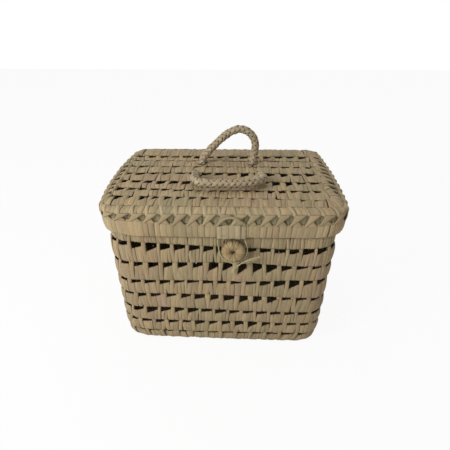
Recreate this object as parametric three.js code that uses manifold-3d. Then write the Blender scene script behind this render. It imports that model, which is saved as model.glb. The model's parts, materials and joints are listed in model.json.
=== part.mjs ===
// A woven palm-leaf box with a hinged lid, two plaited handles and a button-and-loop closure.
// Millimetres, +Z up, the front faces -Y, the origin is the middle of the underside.

import * as THREE from 'three';
import { mergeVertices } from 'three/addons/utils/BufferGeometryUtils.js';
import Module from 'manifold-3d';

const wasm = await Module();
wasm.setup();

// Driving dimensions: the lid. It was made by hand, so it sits a little to the right on the body.
const LID_WIDTH = 304.5;
const LID_DEPTH = 234;
const LID_TOP = 227;
const LID_SHIFT = 3.75;
const LID_BOW_LEFT = 6.5;
const LID_BOW_RIGHT = 3.5;
const LID_BOW_FRONT = 1;
const LID_BOW_BACK = 1;
const LID_CORNERS = { frontRight: 24, backRight: 18, backLeft: 21, frontLeft: 24 };
const LID_THICK = 9.5;
const LID_EDGE_ROUND = 2.5;
const BORDER_SIDE = 22;
const BORDER_FRONT = 34.6;
const BORDER_BACK = 39.8;
const LID_ROW_SHARES = [0.1316, 0.1855, 0.2293, 0.1629, 0.1554, 0.1353];
const LID_ROW_THICK = 8;
const LID_ROW_CROWN = 1.6;
const PANEL_CORNER = 4;

// The skirt that hangs from the lid's edge.
const LACING_HEIGHT = 12;
const LACING_THICK = 3.6;
const LACING_RECESS = 0.7;
const BAND_HEIGHT = 18;
const BAND_THICK = 4.3;
const BAND_SWELL = 0.5;
const TAB_WIDTH = 36;
const TAB_SHIFT = -2.5;
const TAB_THICK = 1.4;
const TAB_ROUND = 5;

// The body. Its walls lie inside the lid's outline by these amounts under the skirt and at the foot.
const WALL_TOP_INSET = { left: 1.5, right: 4.5, front: 2.4, back: 2.4 };
const WALL_FOOT_INSET = { left: 7.5, right: 14, front: 9, back: 9 };
const WALL_BOW_LEFT = 4;
const WALL_BOW = 1;
const WALL_CORNERS = { frontRight: 26, backRight: 26, backLeft: 28, frontLeft: 32 };
const WALL_THICK = 5;
const ROW_SWELL = 1.4;
const ROW_HEIGHT_SHARES = [0.1168, 0.1141, 0.12, 0.135, 0.1313, 0.1506, 0.1506, 0.0816];
const FOOT_ROUND = 16;
const RIM_CLEARANCE = 2.2;
const RIM_ROWS = 2;
const BASE_ROWS = 7;
const BASE_THICK = 5;
const BASE_CROWN = 0.3;

// The plaited handles.
const BRAID_DIAMETER = 12;
const BACK_HANDLE = {
  x: 6.2,
  y: 40,
  span: 76.5,
  height: 47,
  leanDeg: 0,
  pathShares: [
    [0, 0], [0.05, 0.12], [0.156, 0.345], [0.276, 0.545], [0.426, 0.768], [0.571, 0.928],
    [0.718, 1], [0.863, 0.945], [0.983, 0.76], [1.035, 0.53], [1.03, 0.33], [1, 0],
  ],
};
const FRONT_HANDLE = {
  x: 8.5,
  y: -22,
  span: 86,
  height: 45,
  leanDeg: 84,
  pathShares: [
    [0, 0], [-0.03, 0.25], [-0.02, 0.55], [0.04, 0.84], [0.16, 0.98], [0.34, 1.01],
    [0.55, 1], [0.76, 0.95], [0.93, 0.82], [1.03, 0.6], [1.03, 0.32], [1, 0],
  ],
};
const HANDLE_KNOT_RADIUS = 8;
const HANDLE_KNOT_HEIGHT = 7;

// The closure.
const BUTTON = { x: 17, radius: 15.2, thick: 11, hole: 2.4 };
const SHANK_RADIUS = 2;
const BUTTON_KNOT_RADIUS = 5;
const BUTTON_KNOT_THICK = 3.5;
const LOOP_DIAMETER = 1.6;
const LOOP_ROUTE = [
  [-2.4, -119, 185.7], [-2.3, -118.9, 183], [-1.9, -118.6, 179.4], [-1.2, -118.3, 175],
  [-0.7, -118.1, 170.2], [0.5, -118, 164.8], [3.4, -118, 159.4], [7.9, -118, 155],
  [13, -118.1, 152.4], [17.8, -118.2, 151.4], [22.6, -118.2, 152.2], [27.3, -118, 155.1],
  [31.2, -118, 160], [33.6, -118.1, 165.8], [34.2, -118.3, 171.8], [33.5, -118.5, 177.4],
  [32.2, -118.8, 182.4], [31.2, -119, 185.7],
];
const LOOP_KNOT_RADIUS = 2.6;
const LOOP_KNOT_AT = [20.6, -118.2, 147.9];
const TAIL_ROUTE = [[18.6, -117.6, 144.4], [17.6, -116.9, 141.2], [16.6, -116.4, 138], [16.2, -116.2, 134.6]];
const FRAY_ROUTE = [
  [23.4, -120.4, 149.4], [27.4, -121, 152.8], [32.4, -121.4, 156.2], [38.4, -121.6, 158.8],
  [44.6, -121.4, 160.6], [51.2, -121, 161.8],
];

// The ties that hinge the lid: rings about the skirt's lower back edge.
const TIE_RING_RADIUS = 8;
const TIE_CORD_DIAMETER = 2.4;
const TIE_SPACING = 90;

// Clearances, and the number of straight steps on curved outlines.
const GAP = 0.3;
const CUT_ROOM = 0.4;
const CORNER_STEPS = 5;
const SIDE_STEPS = 4;
const FOOT_STEPS = 3;
const ROUND_SIDES = 20;
const CORD_SIDES = 8;
const HANDLE_STEPS = 30;
const BEZIER_CIRCLE_SHARE = 0.5523;
const SMALLEST_CORNER_SHARE = 0.25;

const X_AXIS = new THREE.Vector3(1, 0, 0);
const Y_AXIS = new THREE.Vector3(0, 1, 0);
const Z_AXIS = new THREE.Vector3(0, 0, 1);

const LEAF = { color: 0xb8a784, roughness: 0.72, metalness: 0 };
const LEAF_LIGHT = { color: 0xc3b493, roughness: 0.7, metalness: 0 };
const LEAF_GREEN = { color: 0xa9a481, roughness: 0.7, metalness: 0 };
const BRAID = { color: 0xb3a682, roughness: 0.75, metalness: 0 };
const STRAW = { color: 0xc8ab7e, roughness: 0.65, metalness: 0 };
const CORD = { color: 0xbdb28c, roughness: 0.75, metalness: 0 };

const part = new THREE.Group();
part.name = 'woven_lidded_box';

function addPiece(name, geometry, finish, group = part) {
  const mesh = new THREE.Mesh(geometry, new THREE.MeshStandardMaterial(finish));
  mesh.name = name;
  group.add(mesh);
  return mesh;
}

// Closed meshes, joins and cuts.

function merged(geometry) {
  const bare = geometry.clone();
  bare.deleteAttribute('normal');
  bare.deleteAttribute('uv');
  return mergeVertices(bare);
}

function toSolid(geometry) {
  const shape = merged(geometry);
  return new wasm.Manifold(new wasm.Mesh({
    numProp: 3,
    vertProperties: new Float32Array(shape.attributes.position.array),
    triVerts: new Uint32Array(shape.index.array),
  }));
}

function toGeometry(solid) {
  const mesh = solid.getMesh();
  const geometry = new THREE.BufferGeometry();
  geometry.setAttribute('position', new THREE.BufferAttribute(new Float32Array(mesh.vertProperties), 3));
  geometry.setIndex(new THREE.BufferAttribute(new Uint32Array(mesh.triVerts), 1));
  geometry.computeVertexNormals();
  return geometry;
}

function joined(geometries) {
  return toGeometry(geometries.map(toSolid).reduce((whole, next) => whole.add(next)));
}

function cutBy(geometry, cutters) {
  return toGeometry(cutters.map(toSolid).reduce((rest, cutter) => rest.subtract(cutter), toSolid(geometry)));
}

// A closed outline in plan: four bowed sides and four rounded corners.

function planOutline({ left, right, front, back, corners, bows }) {
  const path = new THREE.Path();
  const sharp = [[right, -front], [right, back], [-left, back], [-left, -front]];
  const radii = [corners.frontRight, corners.backRight, corners.backLeft, corners.frontLeft];
  const along = [[0, 1], [-1, 0], [0, -1], [1, 0]];
  const sideBows = [bows.right, bows.back, bows.left, bows.front];
  const points = [];
  for (let side = 0; side < 4; side += 1) {
    const next = (side + 1) % 4;
    const [dx, dy] = along[side];
    const start = new THREE.Vector2(sharp[side][0] + dx * radii[side], sharp[side][1] + dy * radii[side]);
    const end = new THREE.Vector2(sharp[next][0] - dx * radii[next], sharp[next][1] - dy * radii[next]);
    const bulge = new THREE.Vector2(dy, -dx).multiplyScalar(2 * sideBows[side]);
    const middle = start.clone().add(end).multiplyScalar(0.5).add(bulge);
    points.push(...new THREE.QuadraticBezierCurve(start, middle, end).getPoints(SIDE_STEPS).slice(0, -1));
    const [ex, ey] = along[next];
    const reach = radii[next] * BEZIER_CIRCLE_SHARE;
    const after = new THREE.Vector2(sharp[next][0] + ex * radii[next], sharp[next][1] + ey * radii[next]);
    const corner = new THREE.CubicBezierCurve(
      end,
      new THREE.Vector2(end.x + dx * reach, end.y + dy * reach),
      new THREE.Vector2(after.x - ex * reach, after.y - ey * reach),
      after,
    );
    points.push(...corner.getPoints(CORNER_STEPS).slice(0, -1));
  }
  path.setFromPoints(points);
  return path.getPoints();
}

// Insets an outline's description by the same amount all round.
function inset(outline, amount) {
  const shrink = (radius) => Math.max(radius - amount, radius * SMALLEST_CORNER_SHARE);
  return {
    left: outline.left - amount,
    right: outline.right - amount,
    front: outline.front - amount,
    back: outline.back - amount,
    corners: {
      frontRight: shrink(outline.corners.frontRight),
      backRight: shrink(outline.corners.backRight),
      backLeft: shrink(outline.corners.backLeft),
      frontLeft: shrink(outline.corners.frontLeft),
    },
    bows: outline.bows,
  };
}

// A closed band through outlines at given heights: [outline, z] in order round its section.
function ringThrough(levels) {
  const rings = levels.map(([outline, z]) => planOutline(outline).slice(0, 4 * (CORNER_STEPS + SIDE_STEPS))
    .map((point) => new THREE.Vector3(point.x, point.y, z)));
  const around = rings[0].length;
  const positions = rings.flat().flatMap((point) => point.toArray());
  const index = [];
  for (let level = 0; level < rings.length; level += 1) {
    const nextLevel = (level + 1) % rings.length;
    for (let step = 0; step < around; step += 1) {
      const nextStep = (step + 1) % around;
      const a = level * around + step;
      const b = level * around + nextStep;
      const c = nextLevel * around + nextStep;
      const d = nextLevel * around + step;
      index.push(a, b, c, a, c, d);
    }
  }
  const geometry = new THREE.BufferGeometry();
  geometry.setAttribute('position', new THREE.Float32BufferAttribute(positions, 3));
  geometry.setIndex(index);
  geometry.computeVertexNormals();
  return geometry;
}

// Heights and places that the pieces share.
const lidHalf = {
  left: LID_WIDTH / 2 - LID_SHIFT,
  right: LID_WIDTH / 2 + LID_SHIFT,
  front: LID_DEPTH / 2,
  back: LID_DEPTH / 2,
};
const skirtTop = LID_TOP - LID_THICK - GAP;
const lacingBottom = skirtTop - LACING_HEIGHT;
const bandTop = lacingBottom - GAP;
const skirtBottom = bandTop - BAND_HEIGHT;
const wallTop = skirtBottom - GAP;
const tabY = -(lidHalf.front + LID_BOW_FRONT + GAP + TAB_THICK / 2);
const buttonZ = skirtBottom - GAP - BUTTON.radius;

const lidOutline = {
  ...lidHalf,
  corners: LID_CORNERS,
  bows: { left: LID_BOW_LEFT, right: LID_BOW_RIGHT, front: LID_BOW_FRONT, back: LID_BOW_BACK },
};

function wallOutline(z) {
  const share = z / wallTop;
  const mix = (side) => lidHalf[side] - WALL_FOOT_INSET[side] * (1 - share) - WALL_TOP_INSET[side] * share;
  return {
    left: mix('left'),
    right: mix('right'),
    front: mix('front'),
    back: mix('back'),
    corners: WALL_CORNERS,
    bows: { left: WALL_BOW_LEFT, right: WALL_BOW, front: WALL_BOW, back: WALL_BOW },
  };
}

// The ties come first, because the skirt and the walls are cut for them.

const tieY = lidHalf.back + LID_BOW_BACK;
const tieX = { hinge_tie_left: -TIE_SPACING, hinge_tie_middle: 0, hinge_tie_right: TIE_SPACING };

function tieRing(x, cordRadius) {
  const ring = new THREE.TorusGeometry(TIE_RING_RADIUS, cordRadius, CORD_SIDES, ROUND_SIDES);
  ring.rotateY(Math.PI / 2);
  ring.translate(x, tieY, skirtBottom);
  return ring;
}

const tieCuts = Object.values(tieX).map((x) => tieRing(x, TIE_CORD_DIAMETER / 2 + CUT_ROOM));

function addTies() {
  Object.entries(tieX).forEach(([name, x]) => addPiece(name, tieRing(x, TIE_CORD_DIAMETER / 2), CORD));
}

// Body: wall rows, rim rows and base rows.

function wallRow(bottom, top) {
  const middle = (bottom + top) / 2;
  const at = (z, amount) => [inset(wallOutline(z), amount), z];
  return ringThrough([
    at(bottom, ROW_SWELL),
    at(middle, 0),
    at(top, ROW_SWELL),
    at(top, WALL_THICK),
    at(bottom, WALL_THICK),
  ]);
}

// The lowest row turns in under the box, so its section is a quarter round.
function footRow(top) {
  const innerRadius = FOOT_ROUND - WALL_THICK;
  const outer = [];
  const inner = [];
  for (let step = 0; step <= FOOT_STEPS; step += 1) {
    const turn = (Math.PI / 2) * (step / FOOT_STEPS);
    const [inward, drop] = [Math.cos(turn), Math.sin(turn)];
    outer.push([inset(wallOutline(0), FOOT_ROUND * (1 - inward)), FOOT_ROUND * (1 - drop)]);
    inner.push([inset(wallOutline(0), FOOT_ROUND - innerRadius * inward), FOOT_ROUND - innerRadius * drop]);
  }
  return ringThrough([
    ...outer.reverse(),
    [inset(wallOutline(top), ROW_SWELL), top],
    [inset(wallOutline(top), WALL_THICK), top],
    ...inner,
  ]);
}

function addWalls() {
  const last = ROW_HEIGHT_SHARES.length - 1;
  let bottom = 0;
  ROW_HEIGHT_SHARES.forEach((share, number) => {
    const top = bottom + share * wallTop;
    const row = number === 0 ? footRow(top - GAP / 2) : wallRow(bottom + GAP / 2, top - GAP / 2);
    const cuts = [];
    if (top > skirtBottom - TIE_RING_RADIUS - TIE_CORD_DIAMETER) cuts.push(...tieCuts);
    if (top > buttonZ - SHANK_RADIUS - CUT_ROOM) cuts.push(shankRod(SHANK_RADIUS + CUT_ROOM, CUT_ROOM));
    const name = number === last ? 'wall_shoulder_row' : `wall_row_${number + 1}`;
    addPiece(name, cuts.length ? cutBy(row, cuts) : row, LEAF);
    bottom = top;
  });
}

// Above the shoulder the rim steps in, and the lid's skirt drops round it.
function addRim() {
  const outline = inset(lidOutline, BAND_THICK + RIM_CLEARANCE);
  const rowHeight = (skirtTop - wallTop) / RIM_ROWS;
  for (let number = 0; number < RIM_ROWS; number += 1) {
    const bottom = wallTop + number * rowHeight + GAP / 2;
    const top = bottom + rowHeight - GAP;
    const row = ringThrough([
      [outline, bottom],
      [outline, top],
      [inset(outline, WALL_THICK), top],
      [inset(outline, WALL_THICK), bottom],
    ]);
    addPiece(`rim_row_${number + 1}`, number === 0 ? cutBy(row, tieCuts) : row, LEAF);
  }
}

// A straight row along X with a crowned top, as the weave of a flat panel has.
function rowBar([xLeft, xRight], [yLow, yHigh], [zLow, zHigh], crown) {
  const section = new THREE.Shape();
  section.moveTo(yLow, zLow);
  section.lineTo(yHigh, zLow);
  section.lineTo(yHigh, zHigh - crown);
  section.quadraticCurveTo((yLow + yHigh) / 2, zHigh + crown, yLow, zHigh - crown);
  const bar = new THREE.ExtrudeGeometry(section, {
    depth: xRight - xLeft,
    bevelEnabled: false,
    curveSegments: SIDE_STEPS,
  });
  bar.applyMatrix4(new THREE.Matrix4().makeBasis(Y_AXIS, Z_AXIS, X_AXIS));
  bar.translate(xLeft, 0, 0);
  return bar;
}

// Rows side by side that fill an outline, each with its share of the depth and trimmed with a gap.
function addPanelRows(name, shares, opening, heights, crown, finish) {
  const room = new THREE.ExtrudeGeometry(
    new THREE.Shape(planOutline(inset(opening, GAP))),
    { depth: heights[1] - heights[0], bevelEnabled: false },
  );
  room.translate(0, 0, heights[0]);
  const ends = [-opening.left - opening.bows.left, opening.right + opening.bows.right];
  let yLow = -opening.front;
  shares.forEach((share, number) => {
    const yHigh = yLow + share * (opening.front + opening.back);
    const bar = rowBar(ends, [yLow + GAP / 2, yHigh - GAP / 2], heights, crown);
    addPiece(`${name}_${number + 1}`, toGeometry(toSolid(bar).intersect(toSolid(room))), finish);
    yLow = yHigh;
  });
}

function addBase() {
  const shares = Array(BASE_ROWS).fill(1 / BASE_ROWS);
  addPanelRows('base_row', shares, inset(wallOutline(0), FOOT_ROUND), [0, BASE_THICK], BASE_CROWN, LEAF);
}

// Lid: a border all round, six uneven rows inside it, and the skirt below its edge.

const panel = {
  left: lidHalf.left - BORDER_SIDE,
  right: lidHalf.right - BORDER_SIDE,
  front: lidHalf.front - BORDER_FRONT,
  back: lidHalf.back - BORDER_BACK,
  corners: {
    frontRight: PANEL_CORNER,
    backRight: PANEL_CORNER,
    backLeft: PANEL_CORNER,
    frontLeft: PANEL_CORNER,
  },
  bows: { left: LID_BOW_LEFT, right: LID_BOW_RIGHT, front: 0, back: 0 },
};

function addLidBorder() {
  const underside = LID_TOP - LID_THICK;
  addPiece('lid_border', ringThrough([
    [inset(lidOutline, LID_EDGE_ROUND / 2), underside],
    [lidOutline, underside + LID_EDGE_ROUND],
    [lidOutline, LID_TOP - LID_EDGE_ROUND],
    [inset(lidOutline, LID_EDGE_ROUND), LID_TOP],
    [panel, LID_TOP],
    [panel, underside],
  ]), LEAF_LIGHT);
}

function addLidRows() {
  const heights = [LID_TOP - LID_ROW_THICK, LID_TOP];
  addPanelRows('lid_row', LID_ROW_SHARES, panel, heights, LID_ROW_CROWN, LEAF_LIGHT);
}

function addSkirt() {
  const recessed = inset(lidOutline, LACING_RECESS);
  addPiece('skirt_lacing', ringThrough([
    [recessed, lacingBottom],
    [recessed, skirtTop],
    [inset(recessed, LACING_THICK), skirtTop],
    [inset(recessed, LACING_THICK), lacingBottom],
  ]), LEAF_LIGHT);
  const band = ringThrough([
    [inset(lidOutline, BAND_SWELL), skirtBottom],
    [lidOutline, (skirtBottom + bandTop) / 2],
    [inset(lidOutline, BAND_SWELL), bandTop],
    [inset(lidOutline, BAND_THICK), bandTop],
    [inset(lidOutline, BAND_THICK), skirtBottom],
  ]);
  addPiece('skirt_band', cutBy(band, tieCuts), LEAF_LIGHT);
}

// A folded strip over the middle of the skirt, from which the loop hangs.
function addTab() {
  const face = new THREE.Shape();
  const [low, high] = [skirtBottom, bandTop];
  const middle = BUTTON.x + TAB_SHIFT;
  const [left, right] = [middle - TAB_WIDTH / 2, middle + TAB_WIDTH / 2];
  face.moveTo(left, low);
  face.lineTo(right, low);
  face.lineTo(right, high - TAB_ROUND);
  face.quadraticCurveTo(right, high, right - TAB_ROUND, high);
  face.lineTo(left + TAB_ROUND, high);
  face.quadraticCurveTo(left, high, left, high - TAB_ROUND);
  const tab = new THREE.ExtrudeGeometry(face, {
    depth: TAB_THICK,
    bevelEnabled: false,
    curveSegments: SIDE_STEPS,
  });
  tab.rotateX(Math.PI / 2);
  tab.translate(0, tabY + TAB_THICK / 2, 0);
  addPiece('closure_tab', tab, LEAF_GREEN);
}

// Handles: each is a plaited arch whose two feet are knotted under the lid.

const handleAxisZ = LID_TOP + GAP + BRAID_DIAMETER / 2;

function circle(radius, sides) {
  const points = [];
  for (let side = 0; side < sides; side += 1) {
    const turn = (2 * Math.PI * side) / sides;
    points.push(new THREE.Vector2(radius * Math.cos(turn), radius * Math.sin(turn)));
  }
  return new THREE.Shape(points);
}

// A round tube along a curve, with a ball on each end.
function tubeAlong(curve, radius, steps) {
  const tube = new THREE.ExtrudeGeometry(circle(radius, CORD_SIDES), {
    steps,
    extrudePath: curve,
    bevelEnabled: false,
  });
  const balls = [0, 1].map((end) => {
    const ball = new THREE.SphereGeometry(radius, CORD_SIDES, CORD_SIDES / 2);
    ball.translate(...curve.getPoint(end).toArray());
    return ball;
  });
  return joined([tube, ...balls]);
}

function addHandle(name, handle) {
  const points = handle.pathShares.map(([across, up]) => new THREE.Vector3(
    (across - 0.5) * handle.span,
    0,
    up * handle.height,
  ));
  const arch = tubeAlong(new THREE.CatmullRomCurve3(points), BRAID_DIAMETER / 2, HANDLE_STEPS);
  const mesh = addPiece(name, arch, BRAID);
  mesh.position.set(handle.x, handle.y, handleAxisZ);
  mesh.rotation.x = THREE.MathUtils.degToRad(handle.leanDeg);
}

function domeDown(radius, height) {
  const profile = [];
  for (let step = 0; step <= SIDE_STEPS; step += 1) {
    const turn = (Math.PI / 2) * (step / SIDE_STEPS);
    profile.push(new THREE.Vector2(radius * Math.sin(turn), -height * Math.cos(turn)));
  }
  profile.push(new THREE.Vector2(0, 0));
  const dome = new THREE.LatheGeometry(profile, ROUND_SIDES / 2);
  dome.rotateX(Math.PI / 2);
  return dome;
}

function addHandleKnots(name, handle) {
  const sides = [['left', -1], ['right', 1]];
  sides.forEach(([side, sign]) => {
    const mesh = addPiece(`${name}_knot_${side}`, domeDown(HANDLE_KNOT_RADIUS, HANDLE_KNOT_HEIGHT), BRAID);
    mesh.position.set(handle.x + (sign * handle.span) / 2, handle.y, LID_TOP - LID_ROW_THICK - GAP);
  });
}

// Closure: a wound button on a stitched shank, and the loop that goes round it.

const buttonY = -(lidHalf.front - WALL_TOP_INSET.front + WALL_BOW + GAP + BUTTON.thick / 2);
const wallInsideY = -(wallOutline(buttonZ).front + WALL_BOW - WALL_THICK);

function shankRod(radius, extra) {
  const inner = wallInsideY + GAP + extra;
  const rod = new THREE.CylinderGeometry(radius, radius, inner - buttonY, ROUND_SIDES / 2);
  rod.translate(BUTTON.x, (inner + buttonY) / 2, buttonZ);
  return rod;
}

function addButton() {
  const swell = (BUTTON.radius - BUTTON.hole) / 2;
  const section = [];
  for (let step = 0; step <= CORD_SIDES; step += 1) {
    const turn = (2 * Math.PI * (step % CORD_SIDES)) / CORD_SIDES;
    section.push(new THREE.Vector2(
      BUTTON.hole + swell + swell * Math.cos(turn),
      (BUTTON.thick / 2) * Math.sin(turn),
    ));
  }
  const bun = new THREE.LatheGeometry(section, ROUND_SIDES);
  bun.translate(BUTTON.x, buttonY, buttonZ);
  addPiece('button', bun, STRAW);
  addPiece('button_shank', shankRod(SHANK_RADIUS, 0), CORD);
  const knot = new THREE.CylinderGeometry(
    BUTTON_KNOT_RADIUS,
    BUTTON_KNOT_RADIUS,
    BUTTON_KNOT_THICK,
    ROUND_SIDES / 2,
  );
  knot.translate(BUTTON.x, wallInsideY + 2 * GAP + BUTTON_KNOT_THICK / 2, buttonZ);
  addPiece('button_knot', knot, CORD);
}

function routeCurve(route) {
  return new THREE.CatmullRomCurve3(route.map(([x, y, z]) => new THREE.Vector3(x, y, z)));
}

function addLoop() {
  addPiece('closure_loop', tubeAlong(routeCurve(LOOP_ROUTE), LOOP_DIAMETER / 2, LOOP_ROUTE.length * 2), CORD);
  const knot = new THREE.SphereGeometry(LOOP_KNOT_RADIUS, CORD_SIDES, CORD_SIDES);
  knot.translate(...LOOP_KNOT_AT);
  addPiece('loop_knot', knot, CORD);
  addPiece('loop_tail', tubeAlong(routeCurve(TAIL_ROUTE), LOOP_DIAMETER / 2, TAIL_ROUTE.length), CORD);
  addPiece('loop_fray', tubeAlong(routeCurve(FRAY_ROUTE), LOOP_DIAMETER / 2, FRAY_ROUTE.length * 2), STRAW);
}

addBase();
addWalls();
addRim();
addTies();
addLidBorder();
addLidRows();
addSkirt();
addTab();
addHandle('handle_back', BACK_HANDLE);
addHandle('handle_front', FRONT_HANDLE);
addHandleKnots('handle_back', BACK_HANDLE);
addHandleKnots('handle_front', FRONT_HANDLE);
addButton();
addLoop();

export default part;
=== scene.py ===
# %% [markdown]
# A palm-leaf basket is made of rows. Each row is a bundle of stiff leaf ribs, and strips of flat
# leaf are wrapped side by side round it. Where the wrapping is loose, a slit opens between two
# rows. So this lesson makes one leaf first, and lets Geometry Nodes wrap it a few thousand times.
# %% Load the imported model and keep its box
import json
import math
import random
import bmesh
import bpy
from mathutils import Matrix, Vector, geometry


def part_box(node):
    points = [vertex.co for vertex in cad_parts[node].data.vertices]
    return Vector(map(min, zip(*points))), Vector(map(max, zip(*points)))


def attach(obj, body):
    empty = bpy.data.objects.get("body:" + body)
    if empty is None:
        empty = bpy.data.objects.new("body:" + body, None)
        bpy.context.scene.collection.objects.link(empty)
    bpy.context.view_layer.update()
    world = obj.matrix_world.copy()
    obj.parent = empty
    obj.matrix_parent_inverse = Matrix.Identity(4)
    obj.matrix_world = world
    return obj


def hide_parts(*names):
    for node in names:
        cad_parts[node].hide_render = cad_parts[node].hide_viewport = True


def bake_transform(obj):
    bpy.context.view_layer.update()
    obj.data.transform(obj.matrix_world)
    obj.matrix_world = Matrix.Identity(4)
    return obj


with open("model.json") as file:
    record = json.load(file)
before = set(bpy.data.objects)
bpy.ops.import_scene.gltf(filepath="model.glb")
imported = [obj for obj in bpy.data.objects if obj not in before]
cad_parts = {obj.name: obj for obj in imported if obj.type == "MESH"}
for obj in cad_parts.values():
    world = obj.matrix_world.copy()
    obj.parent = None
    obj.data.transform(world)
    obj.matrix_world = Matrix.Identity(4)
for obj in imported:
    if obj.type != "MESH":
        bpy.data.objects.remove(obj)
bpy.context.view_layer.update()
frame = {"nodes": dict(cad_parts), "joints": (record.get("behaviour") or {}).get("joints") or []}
joints = {joint["name"]: joint for joint in frame["joints"]}
MM = 0.001

# %% [markdown]
# The camera comes first. Its place was fitted to the box's own edges, so a piece that sits where
# the model says lands where the photograph shows it.
# %% Camera
FRAME_PIXELS = 450
FOCAL_PIXELS = 384.976
SENSOR_MM = 36
CAMERA_AT = Vector((16.374, -520.739, 428.597)) * MM
CAMERA_PITCH = math.radians(28.917)
CAMERA_YAW = math.radians(-1.384)


def new_object(name, data):
    """An object in the scene, at the origin."""
    made = bpy.data.objects.new(name, data)
    bpy.context.scene.collection.objects.link(made)
    return made


camera = new_object("camera", bpy.data.cameras.new("camera"))
camera.data.sensor_width = SENSOR_MM
camera.data.lens = FOCAL_PIXELS / FRAME_PIXELS * SENSOR_MM
camera.location = CAMERA_AT
camera.rotation_euler = (math.pi / 2 - CAMERA_PITCH, 0, -CAMERA_YAW)
bpy.context.scene.camera = camera
print("lens", round(camera.data.lens, 2), "mm")

# %% [markdown]
# Every node tree below, for shapes and for finishes, is built with one helper. It makes a node,
# sets what is given by name, and links or fills its inputs, given by name or in their order.
# %% One helper that adds a node
MATH = "ShaderNodeMath"
VECTORS = "ShaderNodeVectorMath"
RANGE = "ShaderNodeMapRange"


def add(tree, kind, inputs=(), **settings):
    node = tree.nodes.new(kind)
    for name, value in settings.items():
        setattr(node, name, value)
    for key, value in inputs.items() if isinstance(inputs, dict) else enumerate(inputs):
        if isinstance(value, bpy.types.Node):
            value = value.outputs[0]
        if isinstance(value, bpy.types.NodeSocket):
            tree.links.new(value, node.inputs[key])
        else:
            node.inputs[key].default_value = value
    return node


def linear(hex_colour):
    """An sRGB hex colour as the linear one that Blender works in."""
    channels = [int(hex_colour[place:place + 2], 16) / 255 for place in (0, 2, 4)]
    return [c / 12.92 if c <= 0.04045 else ((c + 0.055) / 1.055) ** 2.4 for c in channels] + [1]


print("pale grey f2f2f0 is", [round(value, 3) for value in linear("f2f2f0")])

# %% [markdown]
# Dried palm leaf is matt and ribbed along its length. Some of it stays greenish, some turns straw
# or pinkish tan, and it changes slowly over the basket, because a weaver uses up one bundle of
# strips at a time. Each strip carries a number of its own, its tone, which moves its hue a little
# and its lightness more. Fibres run along the strip, and dirt and painted shade gather where
# strips meet. The inner side of a strip is painted darker, as painted shade, so that the slits
# and the creases between rows read dark.
# %% Palm leaf
LEAF_COLOURS = ["a49777", "aa9872", "ac9877", "af9872", "ae967b"]
FIBRE_MM = 0.9
FIBRE_RUN_MM = 26
FIBRE_DEPTH_MM = 0.3
PATCH_MM = 70
SPECK_MM = 5
TONE_STEPS = 7.3
# Painted shade: how much darker a strip's inner side and turned ends are, for slits and creases.
INNER_PAINTED_SHADE = 0.65


def leaf_finish(name, colours, shade=1.0, edge_dark=0.35):
    material = bpy.data.materials.new(name)
    material.use_nodes = True
    tree = material.node_tree
    shader = tree.nodes["Principled BSDF"]
    tone, across, inner = (add(tree, "ShaderNodeAttribute", attribute_name=label).outputs["Fac"]
                           for label in ("tone", "across", "inner"))
    place = add(tree, "ShaderNodeTexCoord")
    patch = add(tree, "ShaderNodeTexNoise", {
        "Vector": place.outputs["Object"], "Scale": 1 / (PATCH_MM * MM), "Detail": 2})
    area_hue = add(tree, RANGE, [patch, 0.32, 0.68, -0.1, 0.6])
    hue = add(tree, MATH, [tone, 0.5, area_hue], operation="MULTIPLY_ADD")
    ramp = add(tree, "ShaderNodeValToRGB", [hue])
    while len(ramp.color_ramp.elements) < len(colours):
        ramp.color_ramp.elements.new(1)
    for number, colour in enumerate(colours):
        ramp.color_ramp.elements[number].position = number / (len(colours) - 1)
        ramp.color_ramp.elements[number].color = linear(colour)
    shift = add(tree, MATH, [tone, TONE_STEPS], operation="MULTIPLY")
    shifted = add(tree, VECTORS, [place.outputs["UV"], shift], operation="ADD")
    along = add(tree, "ShaderNodeMapping", {
        "Vector": shifted, "Scale": (1 / (FIBRE_MM * MM), 1 / (FIBRE_RUN_MM * MM), 1)})
    fibre = add(tree, "ShaderNodeTexNoise", {"Vector": along, "Scale": 1, "Detail": 3, "Roughness": 0.6})
    own = add(tree, MATH, [shift, 1], operation="MODULO")
    speck = add(tree, "ShaderNodeTexNoise", {
        "Vector": shifted, "Scale": 1 / (SPECK_MM * MM), "Detail": 2, "Roughness": 0.7})
    from_middle = add(tree, MATH, [across], operation="ABSOLUTE")

    # What makes a strip lighter or darker: its fibres, its own tone, specks of dirt, dirt and painted
    # shade along its edges, and painted shade on its inner side and turned ends. Each gives a factor,
    # and their product counts.
    whole = 1
    for value, low, high, at_low, at_high in (
            (fibre, 0.3, 0.72, 0.8, 1.12), (own, 0, 1, 0.86, 1.12), (speck, 0.62, 0.74, 1, 0.8),
            (from_middle, 0.4, 0.5, 1, 1 - edge_dark), (inner, 0.06, 0.6, shade, shade * (1 - INNER_PAINTED_SHADE))):
        factor = add(tree, RANGE, [value, low, high, at_low, at_high])
        whole = add(tree, MATH, [whole, factor], operation="MULTIPLY")
    colour = add(tree, VECTORS, {0: ramp, "Scale": whole}, operation="SCALE")
    bump = add(tree, "ShaderNodeBump", {
        "Height": fibre, "Strength": 0.35, "Distance": FIBRE_DEPTH_MM * MM})
    rough = add(tree, RANGE, [fibre, 0, 1, 0.55, 0.8])
    for node, label in ((colour, "Base Color"), (bump, "Normal"), (rough, "Roughness")):
        tree.links.new(node.outputs[0], shader.inputs[label])
    shader.inputs["Specular IOR Level"].default_value = 0.3
    return material


# These finishes share one set of colours, and each one's shade makes a lit or shaded copy: the body's is
# painted darker, the lid's and its edge's lighter, as painted light and shade.
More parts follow.
